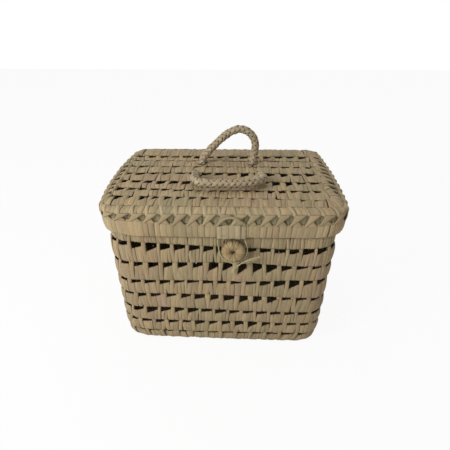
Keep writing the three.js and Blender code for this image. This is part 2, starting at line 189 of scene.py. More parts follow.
body_leaf = leaf_finish("dried_palm_leaf_body", LEAF_COLOURS, shade=0.935)
lid_leaf = leaf_finish("dried_palm_leaf_lid", LEAF_COLOURS, shade=1.02, edge_dark=0.45)
green_leaf = leaf_finish("greenish_palm_leaf", ["958c6b", "9c9270", "a39775"], edge_dark=0.2)
# The edge roll faces the light, so its finish is a copy painted lighter: painted light.
lit_edge_leaf = leaf_finish("palm_leaf_edge_painted_lighter", LEAF_COLOURS, shade=1.08)
band_leaf = leaf_finish("smooth_palm_leaf", LEAF_COLOURS, shade=1.04, edge_dark=0.2)
tab_leaf = leaf_finish("pale_palm_leaf", ["b0a07d", "b6a583", "b2a17f"], edge_dark=0.3)
braid_leaf = leaf_finish("plaited_palm_leaf", ["a69b80", "aa9c7d", "ab9b81", "ae9c7e", "ac9a85"],
                         shade=1.18, edge_dark=0.75)
straw = leaf_finish("wound_raffia", ["ab916a", "b59f74", "bda57c", "b99a7f"], shade=1.04, edge_dark=0.45)
cord_fibre = leaf_finish("twisted_raffia_cord", ["b0a57c", "bbaf86", "c4b990"])
print("finishes", len(bpy.data.materials))

# %% [markdown]
# One leaf is a flat sleeve: it goes up the front of a row, over its edge, down the back, and
# round again. The blank is made lying straight: X is across the leaf, Z along it, Y its depth.
# X is kept as a share of the leaf's width, because each row gives its leaves their own width.
# Strips for the plaits and twisted cords are sleeves too, so one function makes them all.
# %% A sleeve, and the leaf blank
EDGE_COLUMNS = (-0.5, -0.44, -0.25, 0.0, 0.25, 0.44, 0.5)
EDGE_SINKS_MM = (1.1, 0.42, 0.06, 0.0, 0.06, 0.42, 1.1)
FRONT_ROWS = 9
BACK_ROWS = 4
END_ROWS = 3


def sleeve(name, rings, uv, closed=False):
    """A mesh through rings of points; uv turns a ring's and a point's number into a place on the map."""
    shape = bmesh.new()
    uv_layer = shape.loops.layers.uv.new("UVMap")
    corners = [[shape.verts.new(point) for point in ring] for ring in rings]
    total, count = len(rings), len(rings[0])
    for ring in range(total if closed else total - 1):
        for step in range(count):
            spots = ((ring, step), (ring, step + 1), (ring + 1, step + 1), (ring + 1, step))
            face = shape.faces.new([corners[row % total][place % count] for row, place in spots])
            face.smooth = True
            for loop, spot in zip(face.loops, spots):
                loop[uv_layer].uv = uv(*spot)
    if not closed:
        shape.faces.new(corners[0][::-1])
        shape.faces.new(corners[-1])
    bmesh.ops.recalc_face_normals(shape, faces=shape.faces)
    mesh = bpy.data.meshes.new(name)
    shape.to_mesh(mesh)
    shape.free()
    return mesh


def mark(mesh, label, values):
    """Gives each vertex a number that a material can read."""
    mesh.attributes.new(label, "FLOAT", "POINT").data.foreach_set("value", values)


def leaf_section(length, thickness, rounding):
    """Depth and height round the sleeve, front first, from the low end up."""
    half = thickness / 2
    span = length - 2 * rounding
    turns = [math.pi * step / (END_ROWS + 1) for step in range(1, END_ROWS + 1)]
    points = [(0, rounding + span * step / (FRONT_ROWS - 1)) for step in range(FRONT_ROWS)]
    points += [(half - half * math.cos(turn), length - rounding + rounding * math.sin(turn))
               for turn in turns]
    points += [(thickness, length - rounding - span * step / (BACK_ROWS - 1)) for step in range(BACK_ROWS)]
    points += [(half + half * math.cos(turn), rounding - rounding * math.sin(turn)) for turn in turns]
    return points


def leaf_blank(name, length, thickness, rounding, width):
    section = leaf_section(length, thickness, rounding)
    runs = [0]
    for here, there in zip(section, section[1:] + section[:1]):
        runs.append(runs[-1] + math.dist(here, there))
    columns = []
    for share, sink in zip(EDGE_COLUMNS, EDGE_SINKS_MM):
        pull = 1 - min(2 * sink * MM / thickness, 0.8)
        columns.append([(share, thickness / 2 + (depth - thickness / 2) * pull, height)
                        for depth, height in section])
    mesh = sleeve(name, columns, lambda column, step: ((EDGE_COLUMNS[column] + 0.5) * width, runs[step]))
    mark(mesh, "across", [vertex.co.x for vertex in mesh.vertices])
    mark(mesh, "inner", [vertex.co.y / thickness for vertex in mesh.vertices])
    return mesh


print("a leaf has", len(EDGE_COLUMNS) * (FRONT_ROWS + BACK_ROWS + 2 * END_ROWS), "points")

# %% [markdown]
# A row runs between two rails, its lower and its upper edge. The rails are read from the packed
# model: a horizontal slice of a node is a convex outline, so its hull gives the edge in order.
# The upper rail's radius says how tall the slits are at that place.
# %% Rails
RAIL_POINTS = 160
LEVEL_ROOM_MM = 0.02
CURVE_STEP_MM = 1.5


def points_at(node, level):
    """The plan points of a node at one height."""
    found = {(round(vertex.co.x, 6), round(vertex.co.y, 6)) for vertex in frame["nodes"][node].data.vertices
             if abs(vertex.co.z - level) < LEVEL_ROOM_MM * MM}
    return [Vector(point) for point in sorted(found)]


def hull_loop(points):
    """The hull in order, seen from above against the clock, from the middle of the back."""
    loop = [points[index] for index in geometry.convex_hull_2d(points)]
    if sum(a.x * b.y - b.x * a.y for a, b in zip(loop, loop[1:] + loop[:1])) < 0:
        loop.reverse()
    for index, here in enumerate(loop):
        there = loop[(index + 1) % len(loop)]
        if here.y > 0 and here.x >= 0 > there.x:
            middle = here.lerp(there, here.x / (here.x - there.x))
            return [middle] + loop[index + 1:] + loop[:index + 1]
    return loop


def even_points(points, count, closed=False):
    """A smooth curve through the points, cut into even steps."""
    total = len(points)
    dense = []
    for index in range(total if closed else total - 1):
        before = points[(index - 1) % total] if closed or index else points[0]
        here = points[index]
        there = points[(index + 1) % total]
        after = points[(index + 2) % total] if closed or index + 2 < total else there
        length = (there - here).length
        start = (there - before) * (length / max((there - here).length + (here - before).length, 1e-9))
        finish = (after - here) * (length / max((after - there).length + length, 1e-9))
        steps = max(2, int(length / (CURVE_STEP_MM * MM)))
        for step in range(steps):
            t = step / steps
            dense.append(
                here * (2 * t ** 3 - 3 * t ** 2 + 1) + start * (t ** 3 - 2 * t ** 2 + t)
                + there * (3 * t ** 2 - 2 * t ** 3) + finish * (t ** 3 - t ** 2))
    dense.append(points[0] if closed else points[-1])
    runs = [0]
    for here, there in zip(dense, dense[1:]):
        runs.append(runs[-1] + (there - here).length)
    made = []
    place = 0
    for step in range(count):
        goal = runs[-1] * step / (count if closed else count - 1)
        while place < len(runs) - 2 and runs[place + 1] < goal:
            place += 1
        stretch = max(runs[place + 1] - runs[place], 1e-12)
        made.append(dense[place].lerp(dense[place + 1], min(1, (goal - runs[place]) / stretch)))
    return made, runs[-1]


def rails(*lines, closed=True, slits=None):
    """A curve object with these lines; slits gives a slit's height at each step."""
    curve = bpy.data.curves.new("rails", "CURVE")
    curve.dimensions = "3D"
    for points in lines:
        spline = curve.splines.new("POLY")
        spline.points.add(len(points) - 1)
        spline.use_cyclic_u = closed
        for index, (knot, point) in enumerate(zip(spline.points, points)):
            knot.co = (*point, 1)
            knot.radius = slits[index] if slits else 0
    return new_object("rails", curve)


def loop_at(node, level, height=None, count=RAIL_POINTS):
    """A node's outline at one level, drawn at that height or another, and its length."""
    flat, length = even_points(hull_loop(points_at(node, level)), count, closed=True)
    lift = level if height is None else height
    return [Vector((point.x, point.y, lift)) for point in flat], length


def row_edges(node):
    """A row's lower and upper outline, and how far it is round the lower one."""
    low_corner, high_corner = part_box(node)
    low, around = loop_at(node, low_corner.z)
    return low, loop_at(node, high_corner.z)[0], around


print("the lowest row is", round(row_edges("wall_row_1")[2], 3), "m round")

# %% [markdown]
# This tree wraps the leaves. It repeats the blank, gives each copy a number, and then moves every
# point: across the leaf becomes a step along the rails, height becomes the way from the lower to
# the upper rail, and depth goes into the wall. Leaves come in cells. In each cell the first ones
# stop short of the upper row, least at the right, and the last one tucks under it and holds both.
# The plait's tree further on starts and ends in the same way, so two functions do that for both.
# %% The tree that wraps leaves along two rails
SOCKET_KINDS = {bool: "NodeSocketBool", int: "NodeSocketInt", float: "NodeSocketFloat"}
ROW_INPUTS = {
    "Leaf": "NodeSocketGeometry", "Rails": "NodeSocketObject", "Material": "NodeSocketMaterial",
    "Closed": True, "Leaves": 100, "Cell": 3, "Seed": 0, "Length": 0.025, "Start": 0.0,
    "Width": 1.2, "Width spread": 0.22, "Hold width": 1.0, "Waist": 0.3, "Fan": 0.0, "Bow": 0.0,
    "Lean": 0.0, "Lean spread": 0.5, "Bulge": 0.0015, "Tilt": 0.0005, "Raise": 0.0, "Tuck": 0.0,
    "Slit right": 0.4, "Slit lip": 0.25, "Low lip": 1.0,
}
SLIT_MIN_MM = 1
TUCK_DEPTH = 0.6


def start_tree(name, inputs, blank, count, label):
    """A tree with these inputs, that repeats its blank so many times and numbers the copies."""
    tree = bpy.data.node_groups.new(name, "GeometryNodeTree")
    for title, default in inputs.items():
        kind = SOCKET_KINDS.get(type(default), default)
        socket = tree.interface.new_socket(title, in_out="INPUT", socket_type=kind)
        if kind != default:
            socket.default_value = default
    tree.interface.new_socket("Made", in_out="OUTPUT", socket_type="NodeSocketGeometry")
    given = add(tree, "NodeGroupInput").outputs
    line = add(tree, "GeometryNodeMeshLine", {"Count": given[count], "Offset": (0, 0, 0)})
    copies = add(tree, "GeometryNodeInstanceOnPoints", {"Points": line, "Instance": given[blank]})
    index = add(tree, "GeometryNodeInputIndex")
    numbered = add(tree, "GeometryNodeStoreNamedAttribute", {
        "Geometry": copies, "Name": label, "Value": index}, data_type="INT", domain="INSTANCE")
    blanks = add(tree, "GeometryNodeRealizeInstances", [numbered])
    number = add(tree, "GeometryNodeInputNamedAttribute", {"Name": label}, data_type="INT")
    return tree, given, blanks, number


def end_tree(tree, given, blanks, placed, tone):
    """Moves the copies' points to their places, and gives them their tone and their material."""
    moved = add(tree, "GeometryNodeSetPosition", {"Geometry": blanks, "Position": placed})
    toned = add(tree, "GeometryNodeStoreNamedAttribute", {
        "Geometry": moved, "Name": "tone", "Value": tone}, data_type="FLOAT", domain="POINT")
    whole = add(tree, "GeometryNodeRealizeInstances", [toned])
    done = add(tree, "GeometryNodeSetMaterial", {"Geometry": whole, "Material": given["Material"]})
    add(tree, "NodeGroupOutput", [done])
    return tree


def leaf_row_tree():
    tree, given, blanks, leaf = start_tree("leaf_row", ROW_INPUTS, "Leaf", "Leaves", "leaf")
    spot = add(tree, MATH, [leaf, given["Cell"]], operation="MODULO")
    cell_share = add(tree, MATH, [leaf, given["Cell"]], operation="DIVIDE")
    cell = add(tree, MATH, [cell_share], operation="FLOOR")

    # What differs from leaf to leaf, and from slit to slit.
    chances = []
    for offset, (who, low, high) in enumerate([(leaf, -1, 1)] * 4 + [(cell, 0.75, 1.2), (leaf, 0, 1)]):
        seed = add(tree, MATH, [given["Seed"], offset], operation="ADD")
        chances.append(add(tree, "FunctionNodeRandomValue", {
            2: low, 3: high, "ID": who, "Seed": seed}, data_type="FLOAT").outputs[1])
    any_width, any_lean, any_waist, any_tilt, any_slit, any_tone = chances

    # Where a point lies across its leaf, in steps of one leaf.
    place = add(tree, "ShaderNodeSeparateXYZ", [add(tree, "GeometryNodeInputPosition")]).outputs
    up = add(tree, MATH, [place["Z"], given["Length"]], operation="DIVIDE")
    off_middle = add(tree, MATH, [up, 0.5], operation="SUBTRACT")
    squared = add(tree, MATH, [off_middle, off_middle], operation="MULTIPLY")
    to_ends = add(tree, MATH, [squared, 4], operation="MULTIPLY")
    pinch = add(tree, MATH, [to_ends, 0.35], operation="SUBTRACT")
    waist = add(tree, MATH, [given["Waist"], any_waist], operation="MULTIPLY")
    waisted = add(tree, MATH, [waist, pinch, 1], operation="MULTIPLY_ADD")
    spread = add(tree, MATH, [given["Width spread"], any_width, 1], operation="MULTIPLY_ADD")
    next_spot = add(tree, MATH, [spot, 1.5], operation="ADD")
    is_last = add(tree, MATH, [next_spot, given["Cell"]], operation="GREATER_THAN")
    hold = add(tree, RANGE, [is_last, 0, 1, 1, given["Hold width"]])
    any_leaf = add(tree, MATH, [given["Width"], spread], operation="MULTIPLY")
    width = add(tree, MATH, [any_leaf, hold], operation="MULTIPLY")
    half_way = add(tree, MATH, [place["X"], width], operation="MULTIPLY")
    fan = add(tree, MATH, [off_middle, given["Fan"], waisted], operation="MULTIPLY_ADD")
    bowed = add(tree, MATH, [to_ends, given["Bow"]], operation="MULTIPLY")
    across = add(tree, MATH, [half_way, fan, bowed], operation="MULTIPLY_ADD")
    lean = add(tree, MATH, [given["Lean spread"], any_lean, given["Lean"]], operation="MULTIPLY_ADD")
    leaning = add(tree, MATH, [lean, off_middle, across], operation="MULTIPLY_ADD")
    stepped = add(tree, MATH, [leaning, 0.5], operation="ADD")
    steps = add(tree, MATH, [stepped, leaf], operation="ADD")
    share = add(tree, MATH, [steps, given["Leaves"]], operation="DIVIDE")
    started = add(tree, MATH, [share, given["Start"]], operation="ADD")
    wrapped = add(tree, MATH, [started, 1, 0], operation="WRAP")
    factor = add(tree, "GeometryNodeSwitch", {
        "Switch": given["Closed"], "False": started, "True": wrapped}, input_type="FLOAT")

    # The two rails there, and the slit's height on the upper one.
    rail = add(tree, "GeometryNodeObjectInfo", {"Object": given["Rails"]}).outputs["Geometry"]
    radius = add(tree, "GeometryNodeInputRadius")
    low, high = (add(tree, "GeometryNodeSampleCurve", {
        "Curves": rail, "Value": radius, "Factor": factor, "Curve Index": number}, mode="FACTOR").outputs
        for number in (0, 1))

    # The slit: tallest at the cell's left, lower to the right, closed where the last leaf stands.
    in_cell = add(tree, MATH, [stepped, spot], operation="ADD")
    open_leaves = add(tree, MATH, [given["Cell"], 1], operation="SUBTRACT")
    slope = add(tree, RANGE, [in_cell, 0, open_leaves, 1.1, given["Slit right"]])
    open_share = add(tree, MATH, [slope, 1], operation="MINIMUM")
    tall = add(tree, MATH, [high["Value"], any_slit], operation="MULTIPLY")
    sloped = add(tree, MATH, [tall, open_share], operation="MULTIPLY")
    is_open = add(tree, MATH, [1, is_last], operation="SUBTRACT")
    slit = add(tree, MATH, [sloped, is_open], operation="MULTIPLY")
    near_top = add(tree, RANGE, [up, 0.45], interpolation_type="SMOOTHSTEP")
    lowered = add(tree, MATH, [slit, up], operation="MULTIPLY")
    at_top = add(tree, RANGE, [up, 0.75], interpolation_type="SMOOTHSTEP")
    held = add(tree, MATH, [is_last, at_top], operation="MULTIPLY")
    tucked = add(tree, MATH, [held, given["Tuck"]], operation="MULTIPLY")
    dropped = add(tree, MATH, [place["Z"], lowered], operation="SUBTRACT")
    height = add(tree, MATH, [dropped, tucked], operation="ADD")

    # Depth: the row swells at its middle, thins to a lip at a slit, and a leaf lies a little askew.
    flat = add(tree, MATH, [1, to_ends], operation="SUBTRACT")
    swell = add(tree, MATH, [flat, given["Bulge"], given["Raise"]], operation="MULTIPLY_ADD")
    is_slit = add(tree, MATH, [slit, SLIT_MIN_MM * MM], operation="GREATER_THAN")
    lip = add(tree, MATH, [near_top, is_slit], operation="MULTIPLY")
    keep = add(tree, RANGE, [lip, 0, 1, 1, given["Slit lip"]])
    keep_low = add(tree, RANGE, [up, 0, 0.35, given["Low lip"]], interpolation_type="SMOOTHSTEP")
    kept = add(tree, MATH, [keep, keep_low], operation="MULTIPLY")
    thinned = add(tree, MATH, [place["Y"], kept], operation="MULTIPLY")
    out = add(tree, MATH, [thinned, swell], operation="SUBTRACT")
    askew = add(tree, MATH, [any_tilt, place["X"], any_waist], operation="MULTIPLY_ADD")
    tilted = add(tree, MATH, [askew, given["Tilt"], out], operation="MULTIPLY_ADD")
    depth = add(tree, MATH, [tucked, TUCK_DEPTH, tilted], operation="MULTIPLY_ADD")

    # From the blank to the basket.
    between = add(tree, VECTORS, [high["Position"], low["Position"]], operation="SUBTRACT")
    outward = add(tree, VECTORS, [low["Tangent"], between], operation="CROSS_PRODUCT")
    facing = add(tree, VECTORS, [outward], operation="NORMALIZE")
    rise = add(tree, MATH, [height, given["Length"]], operation="DIVIDE")
    climb = add(tree, VECTORS, {0: between, "Scale": rise}, operation="SCALE")
    sink = add(tree, VECTORS, {0: facing, "Scale": depth}, operation="SCALE")
    risen = add(tree, VECTORS, [low["Position"], climb], operation="ADD")
    placed = add(tree, VECTORS, [risen, sink], operation="SUBTRACT")
    return end_tree(tree, given, blanks, placed, any_tone)


leaf_row = leaf_row_tree()
print("leaf_row has", len(leaf_row.nodes), "nodes")

# %% [markdown]
# Each piece is a plain mesh. So the tree runs on its blank, the result is copied to a mesh of
# its own, and the modifier goes. Each row is then attached to the body it rides on, and the
# solid of the CAD model that it stands for is hidden.
# %% A tree's result as one plain mesh
def run_tree(name, tree, mesh, **values):
    """Runs a tree on a mesh and returns a new object that holds only the result."""
    source = new_object("source", mesh)
    modifier = source.modifiers.new("tree", "NODES")
    modifier.node_group = tree
    sockets = {item.name: item.identifier for item in tree.interface.items_tree if item.in_out == "INPUT"}
    for label, value in values.items():
        modifier[sockets[label.replace("_", " ")]] = value
    evaluated = source.evaluated_get(bpy.context.evaluated_depsgraph_get())
    made = new_object(name, bpy.data.meshes.new_from_object(evaluated))
    made.data.name = name
    source.modifiers.remove(modifier)
    bpy.data.objects.remove(source)
    return made


def wrap_row(name, node, pair, length, thickness, leaves, finish, body="lid", slot="lid_leaf",
             rounding=None, **values):
    """Leaves wrapped between a pair of rails, as one piece that rides on a body."""
    knots = [Vector(knot.co[:3]) for knot in pair.data.splines[0].points]
    around = sum((there - here).length for here, there in zip(knots, knots[1:]))
    blank = leaf_blank(name, length, thickness, rounding or thickness / 2, around / leaves)
    piece = run_tree(name, leaf_row, blank, Rails=pair, Leaves=leaves, Length=length,
                     Material=finish, **values)
    bpy.data.objects.remove(pair)
    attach(piece, body)
    if node:
        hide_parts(node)
    print(name, leaves, "leaves,", len(piece.data.polygons), "faces")


print("inputs of a row", len(ROW_INPUTS))

# %% [markdown]
# The body has a rounded foot row, six rows above it and a narrow shoulder row under the lid's
# skirt. It was woven by hand: along the front each row's line rises and falls a few millimetres,
# and its slits open and close. So each line has a list of both, from its left end to its right.
# %% Body rows
CELLS_MM = (19.4, 18.7, 19.2, 19.6, 19.1, 19.0, 18.0, 18.0)
CELL_LEAVES = (4, 3, 4, 3, 4, 3, 4, 4)
WALL_MM = 4.6
FOOT_BULGE_MM = 6.3
ROW_BULGE_MM = 1.3
SHOULDER_BULGE_MM = 0.6
SHOULDER_SINK_MM = 1.8
WALL_TUCK_MM = 2
SLITS_MM = {
    "wall_row_1": (3.4, 4.0, 4.2, 4.0, 3.8, 4.0, 4.2, 5.5, 7.5, 6.5, 5.0),
    "wall_row_2": (5.0, 4.2, 3.8, 4.2, 5.8, 6.5, 8.6, 7.0, 5.0, 4.2, 3.4),
    "wall_row_3": (1.2, 7.0, 8.6, 7.8, 6.0, 5.4, 4.4, 4.4, 4.2, 4.0, 3.4),
    "wall_row_4": (3.2, 4.2, 5.6, 6.0, 7.0, 8.6, 10.4, 9.6, 5.0, 3.0, 2.6),
    "wall_row_5": (4.2, 5.2, 5.4, 4.8, 4.4, 4.0, 3.8, 5.8, 9.0, 6.8, 3.8),
    "wall_row_6": (3.6, 5.6, 6.6, 7.0, 8.8, 12.4, 13.6, 12.0, 6.4, 4.2, 3.2),
    "wall_row_7": (0.6, 6.8, 9.2, 8.6, 6.4, 5.4, 4.8, 4.6, 4.8, 7.0, 2.0),
}
LINE_SHIFTS_MM = {
    "foot": (8.0, 5.0, 3.5, 2.0, 0.3, 0.0),
    "wall_row_1": (5.2, 3.4, 1.7, 1.7, 1.1, 0.0),
    "wall_row_2": (5.2, 2.0, 1.4, 1.7, -0.9, -1.7),
    "wall_row_3": (3.4, 3.7, 2.3, -0.6, -2.9, -2.9),
    "wall_row_4": (2.6, 2.9, 2.9, 1.1, -0.9, -3.4),
    "wall_row_5": (0.6, 1.1, 2.3, 0.9, 3.7, 3.7),
    "wall_row_6": (2.3, 2.3, 3.4, 4.6, -1.1, -0.9),
    "wall_row_7": (5.7, 3.4, 0.0, -2.6, -4.6, -1.4),
}
ROW_STARTS_CELLS = (0.0, 0.42, 0.45, 0.55, 0.0, 0.4, 0.0, 0.0)
SIDE_SLIT_MM = 4.0
BACK_SLIT_MM = 1.5
SLIT_UNEVEN = 0.35


def part_way(value, start, end):
    """0 up to the start, 1 from the end on, and a straight line between them."""
    return max(0, min(1, (value - start) / (end - start)))


def along_front(values, share):
    """The list's value at this share of the way from left to right."""
    step = min(int(share * (len(values) - 1)), len(values) - 2)
    return values[step] + (values[step + 1] - values[step]) * (share * (len(values) - 1) - step)


def front_shares(points):
    xs = [point.x for point in points]
    return [(x - min(xs)) / (max(xs) - min(xs)) for x in xs]


def slit_heights(row, points):
    """A slit's height at each rail point: the row's own list on the front, a wave elsewhere."""
    heights = []
    for point, share in zip(points, front_shares(points)):
        even = SIDE_SLIT_MM + (BACK_SLIT_MM - SIDE_SLIT_MM) * part_way(point.y / MM, 0, 90)
        side = even * (1 + SLIT_UNEVEN * math.sin(40 * point.y + 23 * point.x + 300 * points[0].z))
        facing = part_way(-point.y / MM, 60, 100)
        heights.append((side + (along_front(SLITS_MM[row], share) - side) * facing) * MM)
    return heights


def shifted_line(row, points):
    """The rail with its rise and fall, which fade out towards the back."""
    if row not in LINE_SHIFTS_MM:
        return points
    return [point + Vector((0, 0, along_front(LINE_SHIFTS_MM[row], share)
                            * part_way(-point.y / MM, -90, 90) * MM))
            for point, share in zip(points, front_shares(points))]


# At its two ends the lid's skirt rides up a little, and the shoulder row with it: how high, from
# where, to where.
SKIRT_LIFTS_MM = ((4.6, -105, -130), (3.5, 120, 145))


def lifted(points, lifts_mm):
    """The rail with its ends raised."""
    return [point + Vector((0, 0, sum(height * part_way(point.x / MM, start, end)
                                      for height, start, end in lifts_mm) * MM))
            for point in points]


wall_rows = [f"wall_row_{number}" for number in range(1, 8)] + ["wall_shoulder_row"]
for number, node in enumerate(wall_rows):
    low, high, around = row_edges(node)
    length = (high[0] - low[0]).length
    cells = round(around / (CELLS_MM[number] * MM))
    below = wall_rows[number - 1] if number else "foot"
    if node == "wall_shoulder_row":
        slits = None
        high = lifted(high, SKIRT_LIFTS_MM)
        look = {"Bulge": SHOULDER_BULGE_MM * MM, "Raise": -SHOULDER_SINK_MM * MM}
    else:
        slits = slit_heights(node, high)
        look = {"Bulge": (ROW_BULGE_MM if number else FOOT_BULGE_MM) * MM, "Tuck": WALL_TUCK_MM * MM}
    wrap_row(
        f"{node}_leaves", node, rails(shifted_line(below, low), shifted_line(node, high), slits=slits),
        length, WALL_MM * MM, cells * CELL_LEAVES[number], body_leaf, "box", "body_leaf",
        Cell=CELL_LEAVES[number], Width=1.3, Hold_width=0.8, Width_spread=0.24,
        Start=ROW_STARTS_CELLS[number] / cells, Seed=10 * number, **look)

# %% [markdown]
# Inside the lid's skirt the wall goes on as a narrower rim of two plain rows. The rim is hidden
# while the lid is down, and keeps the lid in place. It is wrapped tight, so it has no slits.
# %% Rim rows
RIM_PITCH_MM = 6
for number in (1, 2):
    node = f"rim_row_{number}"
    low, high, around = row_edges(node)
    wrap_row(f"{node}_leaves", node, rails(low, high), (high[0] - low[0]).length, WALL_MM * MM,
             round(around / (RIM_PITCH_MM * MM)), body_leaf, "box", "body_leaf",
             Cell=1, Bulge=0.5 * MM, Seed=200 + number)

# %% [markdown]
# Flat panels are woven the same way. Here a row's rails are straight lines, so one function
# makes the base rows, which face down, and the lid rows, which face up. The base rises with the
# foot row at its front left corner.
# %% Base rows
PANEL_MM = 4.4
BASE_PITCH_MM = 6.4
BASE_LAP_MM = 1.6
STRAIGHT_STEPS = 12


def straight_rails(node, level, facing_up, past_mm, slits_mm=(0, 0), shifts_mm=((0, 0), (0, 0))):
    """Rails along a flat row; past_mm is how far it goes on at the left, the right and the edges."""
    low_corner, high_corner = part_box(node)
    left, right, edge = (past * MM for past in past_mm)
    start, end = low_corner.x - left, high_corner.x + right
    edges = (low_corner.y - edge, high_corner.y + edge)
    shares = [step / STRAIGHT_STEPS for step in range(STRAIGHT_STEPS + 1)]
    lines = [[Vector((start + (end - start) * share, y + along_front(shifts, share) * MM, level))
              for share in shares] for y, shifts in zip(edges if facing_up else edges[::-1], shifts_mm)]
    if not facing_up:
        lines = [shifted_line("foot", line) for line in lines]
    slits = [along_front(slits_mm, share) * MM for share in shares]
    return rails(*lines, closed=False, slits=slits), end - start, high_corner.y - low_corner.y


for number in range(1, 8):
    node = f"base_row_{number}"
    pair, across, length = straight_rails(node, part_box(node)[0].z, False, (-1, -1, BASE_LAP_MM))
    wrap_row(f"{node}_leaves", node, pair, length + 2 * BASE_LAP_MM * MM, PANEL_MM * MM,
             round(across / (BASE_PITCH_MM * MM)), body_leaf, "box", "body_leaf",
             Closed=False, Cell=1, Width=1.5, Bulge=0.0, Tilt=0.0, Seed=300 + number)

# %% [markdown]
# The lid's middle panel has six rows. Its slits are the widest of all and its lines the least
# straight, so each row again has its own list of slit heights, and each line its own shifts,
# from left to right. The first row is the one at the front.
# %% Lid rows
LID_SLITS_MM = (
    (9, 5, 3.5, 3.5, 6.5, 5), (10, 13, 12, 9, 13, 6), (12, 9.5, 9, 14, 19, 8),
    (5, 4.5, 3.5, 3.5, 4.5, 6), (3.5, 3, 2.5, 2.5, 3, 4), (11, 13, 14.5, 15, 14, 11))
LID_LINE_SHIFTS_MM = (
    (4, 3.5, 2, 1, -2, -5), (10, 7, 3, 3, 4, 4), (6, 5, 3, 3, 3, 3), (-3, -1, 0, 0, -1, -2),
    (0, 0), (0, 0), (0, 0))
LID_CELLS_MM = (15.6, 17, 18.1, 16.5, 17, 18.4)
LID_CELL_LEAVES = 3
LID_ROW_CROWN_MM = 2.2
PANEL_PAST_LEFT_MM = 9
PANEL_PAST_RIGHT_MM = 1
for number in range(1, 7):
    node = f"lid_row_{number}"
    pair, across, length = straight_rails(
        node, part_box(node)[1].z - LID_ROW_CROWN_MM * MM, True, (PANEL_PAST_LEFT_MM, PANEL_PAST_RIGHT_MM, 0),
        LID_SLITS_MM[number - 1], LID_LINE_SHIFTS_MM[number - 1:number + 1])
    leaves = round(across / (LID_CELLS_MM[number - 1] * MM)) * LID_CELL_LEAVES
    wrap_row(f"{node}_leaves", node, pair, length, PANEL_MM * MM, leaves, lid_leaf,
             Closed=False, Cell=LID_CELL_LEAVES, Slit_right=0.6, Width=1.3, Hold_width=0.85,
             Bulge=LID_ROW_CROWN_MM * MM, Low_lip=0.25, Tuck=1.6 * MM, Seed=400 + number)

# %% [markdown]
# The lid's border is wrapped square to its edge, in four straight stretches, and fans out round
# the four corners. The lid's edge is a narrow roll of its own, so a crease runs round the top,
# and at the sides small gaps open along it.
# %% Lid border and edge
BORDER_STEPS = 40
BORDER_SIDES = {
    "front": {"way": (1, 0), "pitch_mm": 5.2, "slits_mm": (9, 9, 7, 5, 5, 5),
              "look": {"Cell": 3, "Bulge": 1.2 * MM, "Hold_width": 0.9}},
    "right": {"way": (0, 1), "pitch_mm": 8.4, "slits_mm": (8, 8),
              "look": {"Cell": 2, "Bulge": 2 * MM, "Hold_width": 0.6, "Lean": 0.3, "Bow": 0.3,
                       "Slit_right": 0.8}},
    "back": {"way": (-1, 0), "pitch_mm": 5.5, "slits_mm": (0, 0), "look": {"Cell": 3, "Bulge": 1.2 * MM}},
    "left": {"way": (0, -1), "pitch_mm": 8.4, "slits_mm": (7, 7),
             "look": {"Cell": 2, "Bulge": 1.6 * MM, "Hold_width": 0.55, "Lean": -0.3, "Bow": -0.3,
                      "Slit_right": 0.9}},
}
CORNER_ROOM_MM = 5
CORNER_PITCH_MM = 7.5
CORNER_LOOK = {"Cell": 1, "Bulge": 2 * MM}
EDGE_INSET_MM = 4.6
FRONT_EDGE_INSET_MM = 13
BACK_EDGE_INSET_MM = 3.2
EDGE_SINK_MM = 2.5
EDGE_POINTS = 640
EDGE_FOOT_MM = 1.6
EDGE_PITCH_MM = 5.6
CREASE_DEPTH_MM = 1.8


def drawn_in(loop, side, front, back):
    """The loop moved inward in plan, by its own amount on the sides, the front and the back."""
    made = []
    for index, here in enumerate(loop):
        along = loop[(index + 1) % len(loop)] - loop[index - 1]
        inward = Vector((-along.y, along.x, 0)).normalized()
        amount = side + (front - side) * max(0, inward.y) ** 2 + (back - side) * max(0, -inward.y) ** 2
        made.append(here + inward * (amount * MM))
    return made


def raised(points, height_mm):
    return [point + Vector((0, 0, height_mm * MM)) for point in points]


def border_stretch(name, outer, inner, pitch_mm, slits_mm, shifts_mm, look):
    """One stretch of the border; the front's slits open inward, the others outward."""
    shares = [step / (BORDER_STEPS - 1) for step in range(BORDER_STEPS)]
    outer_even, span = even_points(outer, BORDER_STEPS)
    inner_even = [point + Vector((0, along_front(shifts_mm, share) * MM, 0))
                  for share, point in zip(shares, even_points(inner, BORDER_STEPS)[0])]
    depth = sum((a - b).length for a, b in zip(outer_even, inner_even)) / BORDER_STEPS
    leaves = max(1, round(span / (pitch_mm * MM) / look["Cell"])) * look["Cell"]
    edges = (outer_even, inner_even) if name == "front" else (inner_even[::-1], outer_even[::-1])
    slits = [along_front(slits_mm, share) * MM for share in shares]
    wrap_row(f"lid_border_{name}_leaves", "lid_border", rails(*edges, closed=False, slits=slits),
             depth, WALL_MM * MM, leaves, lid_leaf, Closed=False, Width=1.45, Tilt=0.6 * MM, Tuck=1.2 * MM,
             Low_lip=0.6, Seed=500 + 10 * len(name), **look)


